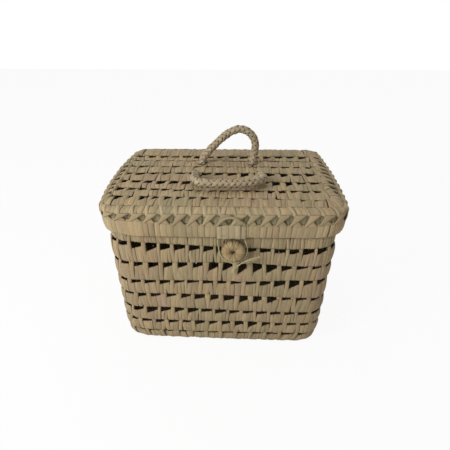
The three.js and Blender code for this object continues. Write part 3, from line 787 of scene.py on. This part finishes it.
border_low, border_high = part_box("lid_border")
border_top = border_high.z - 1.0 * MM
outer_loop, edge_around = loop_at("lid_border", border_high.z - EDGE_SINK_MM * MM, border_top, EDGE_POINTS)
crease = drawn_in(outer_loop, EDGE_INSET_MM, FRONT_EDGE_INSET_MM, BACK_EDGE_INSET_MM)
crease = raised(crease, -CREASE_DEPTH_MM)
panel_low, panel_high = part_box("lid_row_1")[0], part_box("lid_row_6")[1]
panel_left = panel_low.x - PANEL_PAST_LEFT_MM * MM
panel_right = panel_high.x + PANEL_PAST_RIGHT_MM * MM
panel_corners = [Vector((x, y, border_top)) for x, y in (
    (panel_left, panel_low.y), (panel_right, panel_low.y),
    (panel_right, panel_high.y), (panel_left, panel_high.y))]
corner_room = CORNER_ROOM_MM * MM
for number, (side, plan) in enumerate(BORDER_SIDES.items()):
    way = Vector((*plan["way"], 0))
    inward = Vector((-way.y, way.x, 0))
    start, end = panel_corners[number], panel_corners[(number + 1) % 4]
    start_room, end_room = start + way * corner_room, end - way * corner_room
    outer = sorted((point for point in crease if start_room.dot(way) < point.dot(way) < end_room.dot(way)
                    and point.dot(inward) < start.dot(inward)), key=lambda point: point.dot(way))
    border_stretch(side, outer, [start_room, end_room], plan["pitch_mm"], plan["slits_mm"],
                   LID_LINE_SHIFTS_MM[0] if side == "front" else (0, 0), plan["look"])
    turned_room = end + inward * corner_room
    outer = sorted((point for point in crease if point.dot(way) >= end_room.dot(way)
                    and point.dot(inward) <= turned_room.dot(inward)),
                   key=lambda point: point.dot(way + inward))
    border_stretch(f"corner_{number + 1}", outer, [end_room, end, turned_room], CORNER_PITCH_MM,
                   (0, 0), (0, 0), CORNER_LOOK)

edge_low = [Vector((point.x, point.y, border_low.z + EDGE_FOOT_MM * MM)) for point in outer_loop]
wrap_row("lid_edge_leaves", "lid_border", rails(edge_low, crease), 12 * MM, 3.4 * MM,
         round(edge_around / (EDGE_PITCH_MM * MM)), lit_edge_leaf, Cell=1, Width=1.35, Bulge=2.4 * MM, Seed=560)

# %% [markdown]
# Under the edge the lid's skirt starts with a laced course: pale strips cross each other in long
# low crosses, and a plainer course shows through the diamonds between them. Below it hangs a
# smooth band of wider strips.
# %% Skirt band and the course behind the lacing
LACE_LIFTS_MM = ((6.5, -45, -126), (4, 110, 140))
BAND_INSETS_MM = (2.4, 0.6, 2.4)
BAND_PITCH_MM = 7.6
BAND_PAST_MM = 1.6
BACKING_PITCH_MM = 7.0
BACKING_PAST_MM = 1.2
EDGE_RISE_MM = 2.6
band_low, band_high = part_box("skirt_band")
band_bottom = drawn_in(loop_at("skirt_band", band_low.z)[0], *BAND_INSETS_MM)
band_top, _ = loop_at("skirt_band", band_high.z, band_high.z + BAND_PAST_MM * MM)
wrap_row("skirt_band_leaves", "skirt_band",
         rails(lifted(band_bottom, SKIRT_LIFTS_MM), lifted(band_top, LACE_LIFTS_MM)),
         band_high.z - band_low.z + BAND_PAST_MM * MM, 4.0 * MM, round(edge_around / (BAND_PITCH_MM * MM)),
         band_leaf, Cell=1, Bulge=1.4 * MM, Width_spread=0.3, Lean_spread=0.12, Waist=0.05, Seed=600)

lace_low, lace_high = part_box("skirt_lacing")
lace_level, lace_around = loop_at("skirt_lacing", lace_low.z)
lace_bottom = lifted(lace_level, LACE_LIFTS_MM)
lace_top, _ = loop_at("skirt_lacing", lace_high.z, lace_high.z + EDGE_RISE_MM * MM)
lace_height = lace_high.z - lace_low.z + EDGE_RISE_MM * MM
wrap_row("skirt_lacing_backing", "skirt_lacing", rails(lace_bottom, raised(lace_top, BACKING_PAST_MM)),
         lace_height + BACKING_PAST_MM * MM, 2.0 * MM, round(lace_around / (BACKING_PITCH_MM * MM)),
         green_leaf, Cell=1, Bulge=0.0, Raise=-1.3 * MM, Tilt=0.2 * MM, Seed=610)

# %% [markdown]
# Each cross of the lacing has a long strip that leans to the right, a short one under it, and an
# arm that comes down over the lid's edge and joins them from the upper left. Each of the three is
# a row with one leaf to a cross. Start moves a row along until its strips meet the others.
# %% Lacing
LACING_PITCH_MM = 17.5
UNDER_SHARE = 0.47
ARM_PAST_MM = 3
LACE_LOOK = {"Cell": 1, "Waist": 0.0, "Tilt": 0.2 * MM}
crosses = round(lace_around / (LACING_PITCH_MM * MM))
lace_middle = [low.lerp(high, UNDER_SHARE) for low, high in zip(lace_bottom, lace_top)]
lace_start = raised(lace_bottom, -BAND_PAST_MM)
for name, lower, upper, height, thick_mm, rounding_mm, finish, look in (
        ("under", lace_start, lace_middle, UNDER_SHARE * lace_height + BAND_PAST_MM * MM, 2.6, 0.75,
         band_leaf, {"Width": 0.5, "Width_spread": 0.12, "Fan": -0.9, "Lean": -0.12, "Lean_spread": 0.08,
                     "Raise": 0.9 * MM, "Bulge": 0.3 * MM, "Start": -0.177 / crosses, "Seed": 620}),
        ("over", lace_start, lace_top, lace_height + BAND_PAST_MM * MM, 2.6, 0.75,
         band_leaf, {"Width": 0.43, "Width_spread": 0.12, "Fan": 1.5, "Lean": 0.72, "Lean_spread": 0.08,
                     "Raise": 1.5 * MM, "Bulge": 0.8 * MM, "Start": -0.317 / crosses, "Seed": 620}),
        ("arms", raised(edge_low, -ARM_PAST_MM), crease, 15 * MM, 3.2, 1,
         tab_leaf, {"Width": 0.27, "Width_spread": 0.2, "Fan": 0.3, "Lean": -0.25, "Lean_spread": 0.12,
                    "Raise": 1.2 * MM, "Bulge": 3.4 * MM, "Start": -0.463 / crosses, "Seed": 630})):
    wrap_row(f"skirt_lacing_{name}", "skirt_lacing", rails(lower, upper), height, thick_mm * MM, crosses,
             finish, rounding=rounding_mm * MM, **LACE_LOOK, **look)

# %% [markdown]
# The handles are round plaits of six strips: three wind one way and three the other, and each
# goes over one and under one. The tree bends a straight strip onto a helix round the handle's
# path; its distance from the path rises and falls three times a turn, opposite for the two ways.
# The strips are no machine's work, so each gets wider and narrower and strays a little.
# %% The tree that plaits strips
PLAIT_INPUTS = {
    "Strip": "NodeSocketGeometry", "Path": "NodeSocketObject", "Material": "NodeSocketMaterial",
    "Strips": 6, "Length": 0.1, "Radius": 0.004, "Turn": 0.021, "Lift": 0.0008, "Stray": 0.0024,
}
PLAIT_SEED = 4


def plait_tree():
    tree, given, blanks, strip = start_tree("plait", PLAIT_INPUTS, "Strip", "Strips", "strip")
    odd = add(tree, MATH, [strip, 2], operation="MODULO")
    way = add(tree, MATH, [odd, -2, 1], operation="MULTIPLY_ADD")
    halved = add(tree, MATH, [strip, 2], operation="DIVIDE")
    rank = add(tree, MATH, [halved], operation="FLOOR")
    step_turn = add(tree, MATH, [2 * math.tau, given["Strips"]], operation="DIVIDE")
    begin = add(tree, MATH, [rank, step_turn], operation="MULTIPLY")

    place = add(tree, "ShaderNodeSeparateXYZ", [add(tree, "GeometryNodeInputPosition")]).outputs
    rate = add(tree, MATH, [math.tau, given["Turn"]], operation="DIVIDE")
    slope = add(tree, MATH, [rate, given["Radius"]], operation="MULTIPLY")
    angle = add(tree, MATH, [slope], operation="ARCTANGENT")
    sine = add(tree, MATH, [angle], operation="SINE")
    cosine = add(tree, MATH, [angle], operation="COSINE")
    run = add(tree, MATH, [place["Z"], given["Length"]], operation="MULTIPLY")
    spots = add(tree, "ShaderNodeCombineXYZ", [run, strip])
    uneven = add(tree, "ShaderNodeTexNoise", {
        "Vector": add(tree, VECTORS, [spots, (140, 3.7, 0)], operation="MULTIPLY"),
        "Scale": 1, "Detail": 1})
    breadth = add(tree, RANGE, [uneven, 0.3, 0.7, 0.7, 1.12])
    aside = add(tree, MATH, [place["X"], breadth], operation="MULTIPLY")
    strayed = add(tree, MATH, [uneven, 0.5], operation="SUBTRACT")
    back = add(tree, MATH, [aside, sine], operation="MULTIPLY")
    signed_back = add(tree, MATH, [back, way], operation="MULTIPLY")
    along = add(tree, MATH, [run, signed_back], operation="SUBTRACT")
    turned = add(tree, MATH, [run, rate], operation="MULTIPLY")
    signed_turn = add(tree, MATH, [turned, way, begin], operation="MULTIPLY_ADD")
    side = add(tree, MATH, [aside, cosine], operation="MULTIPLY")
    side_turn = add(tree, MATH, [side, given["Radius"]], operation="DIVIDE")
    turn = add(tree, MATH, [signed_turn, side_turn], operation="ADD")
    ways = add(tree, MATH, [given["Strips"], 2], operation="DIVIDE")
    crossing = add(tree, MATH, [turned, ways], operation="MULTIPLY")
    wave = add(tree, MATH, [crossing], operation="COSINE")
    lift = add(tree, MATH, [wave, given["Lift"]], operation="MULTIPLY")
    signed_lift = add(tree, MATH, [lift, way, given["Radius"]], operation="MULTIPLY_ADD")
    level = add(tree, MATH, [strayed, given["Stray"], signed_lift], operation="MULTIPLY_ADD")
    distance = add(tree, MATH, [level, place["Y"]], operation="SUBTRACT")

    path = add(tree, "GeometryNodeObjectInfo", {"Object": given["Path"]}).outputs["Geometry"]
    spot = add(tree, "GeometryNodeSampleCurve", {"Curves": path, "Length": along}, mode="LENGTH").outputs
    other = add(tree, VECTORS, [spot["Tangent"], spot["Normal"]], operation="CROSS_PRODUCT")
    cos_turn = add(tree, MATH, [turn], operation="COSINE")
    sin_turn = add(tree, MATH, [turn], operation="SINE")
    first = add(tree, MATH, [cos_turn, distance], operation="MULTIPLY")
    second = add(tree, MATH, [sin_turn, distance], operation="MULTIPLY")
    by_normal = add(tree, VECTORS, {0: spot["Normal"], "Scale": first}, operation="SCALE")
    by_other = add(tree, VECTORS, {0: other, "Scale": second}, operation="SCALE")
    offset = add(tree, VECTORS, [by_normal, by_other], operation="ADD")
    placed = add(tree, VECTORS, [spot["Position"], offset], operation="ADD")
    tone = add(tree, "FunctionNodeRandomValue", {
        2: 0, 3: 1, "ID": strip, "Seed": PLAIT_SEED}, data_type="FLOAT")
    return end_tree(tree, given, blanks, placed, tone.outputs[1])


plait = plait_tree()
print("plait has", len(plait.nodes), "nodes")

# %% [markdown]
# A strip for the plait is a long thin closed bar with soft edges. Its UV map runs along it in
# metres, so the leaf's fibres follow the strip round the plait.
# %% A flat strip to bend
STRIP_SECTION = (
    (-0.5, 0.5), (-0.46, 0.12), (-0.25, 0.0), (0.0, -0.06), (0.25, 0.0), (0.46, 0.12), (0.5, 0.5),
    (0.4, 0.9), (0.0, 1.0), (-0.4, 0.9),
)


def strip_blank(name, steps, width, thickness, length):
    """X across, in metres; Y from the outer face inward; Z from 0 to 1."""
    shares = [step / steps for step in range(steps + 1)]
    across = [x for x, _ in STRIP_SECTION]
    mesh = sleeve(name, [[(x * width, y * thickness, share) for x, y in STRIP_SECTION] for share in shares],
                  lambda ring, place: ((across[place % len(across)] + 0.5) * width, shares[ring] * length))
    mark(mesh, "across", across * len(shares))
    return mesh


print("a strip's section has", len(STRIP_SECTION), "points")

# %% [markdown]
# The back handle stands and the front one lies forward. Each path was read from the photograph
# as shares of the handle's span and height, and its two feet go down through the lid.
# %% Handles
PLAIT_RADIUS_MM = 5.2
PLAIT_TURN_MM = 22
STRIP_WIDTH_MM = 5.8
STRIP_THICK_MM = 1.4
STRIP_STEPS = 130
PATH_POINTS = 120
FOOT_DEPTH_MM = 13
HANDLES = {
    "handle_back": {
        "span": 76.5, "height": 47, "lean": 0, "shift_mm": (1, 0, -1), "blend_mm": ((0, 0, -5.5), (0, 0, 7)),
        "path_shares": [
            (0, 0), (0.05, 0.12), (0.156, 0.345), (0.276, 0.545), (0.426, 0.768), (0.571, 0.928),
            (0.718, 1), (0.863, 0.945), (0.983, 0.76), (1.035, 0.53), (1.03, 0.33), (1, 0)],
    },
    "handle_front": {
        "span": 86, "height": 45, "lean": 84, "shift_mm": (0, 0, 0), "blend_mm": ((0, 1, -5.5), (0, -9, -1)),
        "path_shares": [
            (0, 0), (-0.02, 0.25), (-0.005, 0.55), (0.05, 0.84), (0.16, 0.98), (0.34, 1.01),
            (0.55, 1), (0.76, 0.95), (0.93, 0.82), (1.03, 0.6), (1.03, 0.32), (1, 0)],
    },
}
for name, handle in HANDLES.items():
    axis = Vector(joints[f"{name}_swing"]["pos_m"])
    lean = Matrix.Rotation(math.radians(handle["lean"]), 3, "X")
    arch = [axis + lean @ Vector(((across - 0.5) * handle["span"] * MM, 0, up * handle["height"] * MM))
            + Vector(handle["shift_mm"]) * MM for across, up in handle["path_shares"]]
    down = Vector((0, 0, -FOOT_DEPTH_MM * MM))
    path, length = even_points([arch[0] + down] + arch + [arch[-1] + down], PATH_POINTS)
    track = rails(path, closed=False)
    blank = strip_blank(name, STRIP_STEPS, STRIP_WIDTH_MM * MM, STRIP_THICK_MM * MM, length)
    piece = run_tree(f"{name}_plait", plait, blank, Path=track, Length=length,
                     Radius=PLAIT_RADIUS_MM * MM, Turn=PLAIT_TURN_MM * MM, Material=braid_leaf)
    bpy.data.objects.remove(track)
    start, end = (axis + Vector(place) * MM for place in handle["blend_mm"])
    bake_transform(piece)
    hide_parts(name)
    print(name, "plait", round(length, 3), "m,", len(piece.data.polygons), "faces")

# %% [markdown]
# The button and the knots are buns: raffia wound through a small hole and round the rim. That is
# a row of leaves again, with a large circle and a small circle for its rails. The button faces
# the front, its knot the inside, and each handle's foot has a knot under the lid and a collar
# of turns on top of it.
# %% Wound buns
CIRCLE_POINTS = 48
BUN_ROUNDING = 0.98
COLLAR_HEIGHT_MM = 4
RIGHT, BACK, UP = Vector((1, 0, 0)), Vector((0, 1, 0)), Vector((0, 0, 1))


def box_of(node):
    """The two corners of a node's box, and its middle."""
    low_corner, high_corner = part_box(node)
    return low_corner, high_corner, (low_corner + high_corner) / 2


def circle_rail(centre, radius, up):
    turns = [math.tau * step / CIRCLE_POINTS for step in range(CIRCLE_POINTS)]
    return [centre + RIGHT * (radius * math.cos(turn)) + up * (radius * math.sin(turn)) for turn in turns]


def bun(name, node, centre, radius, hole, thickness, up, turns, finish, body, slot, **values):
    pair = rails(circle_rail(centre, radius, up), circle_rail(centre, hole, up))
    wrap_row(name, node, pair, radius - hole, thickness, turns, finish, body, slot,
             rounding=min(thickness, radius - hole) / 2 * BUN_ROUNDING, Cell=1, Bulge=0.0, **values)


low_corner, high_corner, centre = box_of("button")
centre.y = low_corner.y
bun("button_winding", "button", centre, (high_corner.x - low_corner.x) / 2, 1.7 * MM,
    high_corner.y - low_corner.y, UP, 64, straw, "box", "straw", Width=1.2, Tilt=0.5 * MM,
    Lean_spread=0.9, Seed=700)
low_corner, high_corner, centre = box_of("button_knot")
centre.y = high_corner.y
bun("button_knot_winding", "button_knot", centre, 5 * MM, 0.6 * MM, 3.4 * MM, -UP, 14,
    cord_fibre, "box", "cord", Seed=710)
for number, node in enumerate(f"{handle}_knot_{side}" for handle in HANDLES for side in ("left", "right")):
    low_corner, high_corner, centre = box_of(node)
    centre.z = low_corner.z
    bun(f"{node}_winding", node, centre, 8 * MM, 1.2 * MM, high_corner.z - low_corner.z, -BACK, 18,
        braid_leaf, "lid", "braid", Seed=720)
    centre.z = border_high.z + (COLLAR_HEIGHT_MM - 1) * MM
    bun(f"{node}_collar", None, centre, 8.4 * MM, 3.4 * MM, COLLAR_HEIGHT_MM * MM, BACK, 9,
        braid_leaf, "lid", "braid", Width=0.95, Width_spread=0.35, Lean_spread=0.8, Tilt=1.4 * MM,
        Seed=730 + 7 * number)

# %% [markdown]
# Cords are two plies of raffia twisted together. A short sweep makes them: a ring of points goes
# along the path, and its radius dips on two sides that turn as it goes.
# %% Twisted cords
CORD_SIDES = 12
PLY_DIP = 0.22
CORD_TONE = 0.6


def cord_mesh(name, node, points, radius, turn, body="closure_loop", taper=0.0, closed=False):
    """A cord along the points, as a piece that rides on a body."""
    rings, runs = [], []
    total = len(points)
    normal = None
    run = 0
    for index, here in enumerate(points):
        before = points[index - 1] if index or closed else here
        after = points[(index + 1) % total] if index + 1 < total or closed else here
        tangent = (after - before).normalized()
        if normal is None:
            normal = tangent.orthogonal().normalized()
        normal = (normal - tangent * normal.dot(tangent)).normalized()
        other = tangent.cross(normal)
        if index:
            run += (here - points[index - 1]).length
        thick = radius * (1 - taper * index / (total - 1))
        ring = []
        for side in range(CORD_SIDES):
            angle = math.tau * side / CORD_SIDES
            dip = 1 - PLY_DIP * (0.5 - 0.5 * math.cos(2 * (angle - math.tau * run / turn)))
            ring.append(here + (normal * math.cos(angle) + other * math.sin(angle)) * thick * dip)
        rings.append(ring)
        runs.append(run)
    mesh = sleeve(name, rings, lambda ring, side: (
        side / CORD_SIDES * math.tau * radius, runs[ring % total]), closed)
    mesh.materials.append(cord_fibre)
    mark(mesh, "tone", [CORD_TONE] * len(mesh.vertices))
    made = new_object(name, mesh)
    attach(made, body)
    if node:
        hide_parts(node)
    return made


def millimetres(points):
    return [Vector(point) * MM for point in points]


print("a cord's ring has", CORD_SIDES, "points")

# %% [markdown]
# The loop hangs from under the tab, passes round the button and comes back. Its knot sits below
# the button, with a short tail and a spray of frayed ends. The cord is 1.6 mm thick over its
# core, and 2.2 mm over the loose fibres of its two plies, which is how thick it is drawn.
# %% Closure loop
PLIES_DIAMETER_MM = 2.2
LOOP_ROUTE = millimetres([
    (-2.4, -119, 185.7), (-2.3, -118.9, 183), (-1.9, -118.6, 179.4), (-1.2, -118.3, 175),
    (-0.7, -118.1, 170.2), (0.5, -118, 164.8), (3.4, -118, 159.4), (7.9, -118, 155),
    (13, -118.1, 152.4), (17.8, -118.2, 151.4), (22.6, -118.2, 152.2), (27.3, -118, 155.1),
    (31.2, -118, 160), (33.6, -118.1, 165.8), (34.2, -118.3, 171.8), (33.5, -118.5, 177.4),
    (32.2, -118.8, 182.4), (31.2, -119, 185.7)])
TAIL_ROUTE = millimetres([
    (18.6, -117.6, 144.4), (17.6, -116.9, 141.2), (16.6, -116.4, 138), (16.2, -116.2, 134.6)])
FRAY_ROUTE = millimetres([
    (23.4, -120.4, 149.4), (27.4, -121, 152.8), (32.4, -121.4, 156.2), (38.4, -121.6, 158.8),
    (44.6, -121.4, 160.6), (51.2, -121, 161.8)])
LOOP_KNOT_AT = Vector((20.6, -118.2, 147.9)) * MM
KNOT_POINTS = 72
path, loop_length = even_points(LOOP_ROUTE, PATH_POINTS)
loop = cord_mesh("closure_loop_cord", "closure_loop", path, PLIES_DIAMETER_MM / 2 * MM, 8 * MM)
knot_path = []
for turn in (math.tau * step / KNOT_POINTS for step in range(KNOT_POINTS)):
    reach = 2.0 + 0.7 * math.cos(3 * turn)
    knot_path.append(LOOP_KNOT_AT + Vector((
        reach * math.cos(2 * turn), 1.1 * math.sin(3 * turn), reach * math.sin(2 * turn))) * MM)
knot = cord_mesh("closure_loop_knot", "loop_knot", knot_path, 0.8 * MM, 6 * MM, closed=True)
for number, spread in enumerate((-1.6, 0.0, 1.5)):
    route = [LOOP_KNOT_AT] + [point + Vector((spread * (step + 1) / 4, -0.3 * number, 0)) * MM
                              for step, point in enumerate(TAIL_ROUTE)]
    cord_mesh(f"closure_loop_tail_{number + 1}", None if number else "loop_tail",
                           even_points(route, 24)[0], 1.0 * MM, 6 * MM, taper=0.4)
fray_chance = random.Random(5)
for number, (rise, reach) in enumerate(((1.9, 0.98), (0.6, 1.0), (-0.8, 0.86), (-2.2, 0.6))):
    route = [LOOP_KNOT_AT] + [
        LOOP_KNOT_AT.lerp(point, reach) + Vector((0, fray_chance.uniform(-0.3, 0.3), rise * step / 5)) * MM
        for step, point in enumerate(FRAY_ROUTE)]
    cord_mesh(f"closure_loop_strand_{number + 1}", None if number else "loop_fray",
                             even_points(route, 30)[0], 0.8 * MM, 9 * MM, taper=0.4)
print("loop", round(loop_length * 1000, 1), "mm")

# %% [markdown]
# Three raffia ties hold the lid to the body at the back. Each goes three times through the skirt
# and the wall. The button hangs on a twisted shank that goes through the wall.
# %% Hinge ties and button shank
TIE_TURNS = 3
TIE_STEPS = 144
SHANK_STEPS = 12
for node in ("hinge_tie_left", "hinge_tie_middle", "hinge_tie_right"):
    low_corner, high_corner, centre = box_of(node)
    ring = (high_corner.z - low_corner.z) / 2 - 1.2 * MM
    angles = [math.tau * TIE_TURNS * step / TIE_STEPS for step in range(TIE_STEPS)]
    path = [centre + Vector((1.5 * MM * math.sin(angle / TIE_TURNS), ring * math.cos(angle),
                             ring * math.sin(angle))) for angle in angles]
    cord_mesh(f"{node}_cord", node, path, 0.75 * MM, 7 * MM, "box", closed=True)
low_corner, high_corner, centre = box_of("button_shank")
path = [Vector((centre.x, low_corner.y + (high_corner.y - low_corner.y) * step / SHANK_STEPS, centre.z))
        for step in range(SHANK_STEPS + 1)]
cord_mesh("button_shank_cord", "button_shank", path, 1.9 * MM, 8 * MM, "box")
print("the shank is", round((high_corner.y - low_corner.y) / MM, 1), "mm long")

# %% [markdown]
# The tab is a short apron of strips in the middle of the band. One strip of the lacing arches over
# it: a straight strip again, bent along its own path by hand.
# %% Tab
TAB_STEPS = 24
ARCH_STEPS = 40
ARCH_ROUTE = millimetres([
    (-2.8, -120.8, 205.5), (-2.0, -121.6, 208), (0.4, -122, 211), (3.8, -122.4, 214.6), (7.1, -122.6, 216.9),
    (11.2, -122.7, 218), (15.9, -122.7, 217.9), (19.9, -122.6, 216.4), (24, -122.2, 213.4),
    (27.5, -121.6, 210.4), (29.6, -120.9, 208.4), (30.6, -120, 206.6)])
tab_low, tab_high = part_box("closure_tab")
lower = [Vector((tab_low.x + (tab_high.x - tab_low.x) * step / TAB_STEPS, tab_high.y, tab_low.z))
         for step in range(TAB_STEPS + 1)]
upper = [Vector((point.x, point.y, tab_high.z + (1.5 - 3 * abs(2 * step / TAB_STEPS - 1) ** 4) * MM))
         for step, point in enumerate(lower)]
wrap_row("closure_tab_leaves", "closure_tab", rails(lower, upper, closed=False), tab_high.z - tab_low.z,
         1.6 * MM, 5, tab_leaf, slot="green_leaf", Closed=False, Cell=1, Bulge=0.5 * MM, Raise=1.2 * MM,
         Lean_spread=0.1, Waist=0.05, Seed=800)
arch_path, arch_length = even_points(ARCH_ROUTE, ARCH_STEPS + 1)
arch_mesh = strip_blank("tab_arch_strip", ARCH_STEPS, 3.4 * MM, 1.2 * MM, arch_length)
for vertex in arch_mesh.vertices:
    place = min(round(vertex.co.z * ARCH_STEPS), ARCH_STEPS)
    along = (arch_path[min(place + 1, ARCH_STEPS)] - arch_path[max(place - 1, 0)]).normalized()
    across = along.cross(-BACK).normalized()
    outward = across.cross(along).normalized()
    vertex.co = arch_path[place] + across * vertex.co.x - outward * vertex.co.y
arch_mesh.flip_normals()
arch_mesh.materials.append(tab_leaf)
arch = new_object("tab_arch_strip", arch_mesh)
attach(arch, "lid")
print("the arch over the tab is", round(arch_length / MM, 1), "mm long")

# %% [markdown]
# The floor and backdrop are plain and pale. The camera sees them white; everything else sees the
# same soft grey studio, so the leaf keeps the colour it is written in.
# %% Floor, light and backdrop
FLOOR_HALF = 3
SHADOW_SHARE = 0.07
STUDIO_GREY = 0.37
WHITE = (1, 1, 1, 1)
LAMP_AIM = Vector((0, 0, 0.12))
floor_mesh = bpy.data.meshes.new("floor")
floor_mesh.from_pydata([(x * FLOOR_HALF, y * FLOOR_HALF, 0) for x, y in ((-1, -1), (1, -1), (1, 1), (-1, 1))],
                       [], [(0, 1, 2, 3)])
floor = new_object("floor", floor_mesh)
paper = bpy.data.materials.new("white_paper_sweep")
paper.use_nodes = True
tree = paper.node_tree
diffuse = tree.nodes["Principled BSDF"]
diffuse.inputs["Base Color"].default_value = linear("f2f2f0")
diffuse.inputs["Roughness"].default_value = 0.9
white = add(tree, "ShaderNodeEmission", {"Color": WHITE, "Strength": 1.0})
seen_by = add(tree, "ShaderNodeLightPath").outputs
seen = add(tree, MATH, [seen_by["Is Camera Ray"], 1 - SHADOW_SHARE], operation="MULTIPLY")
mixed = add(tree, "ShaderNodeMixShader", [seen, diffuse, white])
tree.links.new(mixed.outputs[0], tree.nodes["Material Output"].inputs["Surface"])
floor_mesh.materials.append(paper)

world = bpy.data.worlds.new("studio")
bpy.context.scene.world = world
world.use_nodes = True
tree = world.node_tree
around = tree.nodes["Background"]
around.inputs["Color"].default_value = WHITE
around.inputs["Strength"].default_value = STUDIO_GREY
backdrop = add(tree, "ShaderNodeBackground", {"Color": WHITE, "Strength": 1.0})
seen_by = add(tree, "ShaderNodeLightPath").outputs
seen = add(tree, MATH, [seen_by["Is Camera Ray"], seen_by["Is Glossy Ray"]], operation="MAXIMUM")
mixed = add(tree, "ShaderNodeMixShader", [seen, around, backdrop])
tree.links.new(mixed.outputs[0], tree.nodes["World Output"].inputs["Surface"])
for name, place, size, watts in (
        ("front_left", (-0.93, -0.76, 0.75), 0.5, 10.6), ("overhead", (-0.3, 0.2, 1.7), 1.2, 3.2)):
    lamp = new_object(name, bpy.data.lights.new(name, "AREA"))
    lamp.data.shape = "SQUARE"
    lamp.data.size = size
    lamp.data.energy = watts
    lamp.location = place
    lamp.rotation_euler = (LAMP_AIM - Vector(place)).to_track_quat("-Z", "Y").to_euler()
bpy.context.scene.view_settings.view_transform = "Standard"
print("lamps", len(bpy.data.lights))
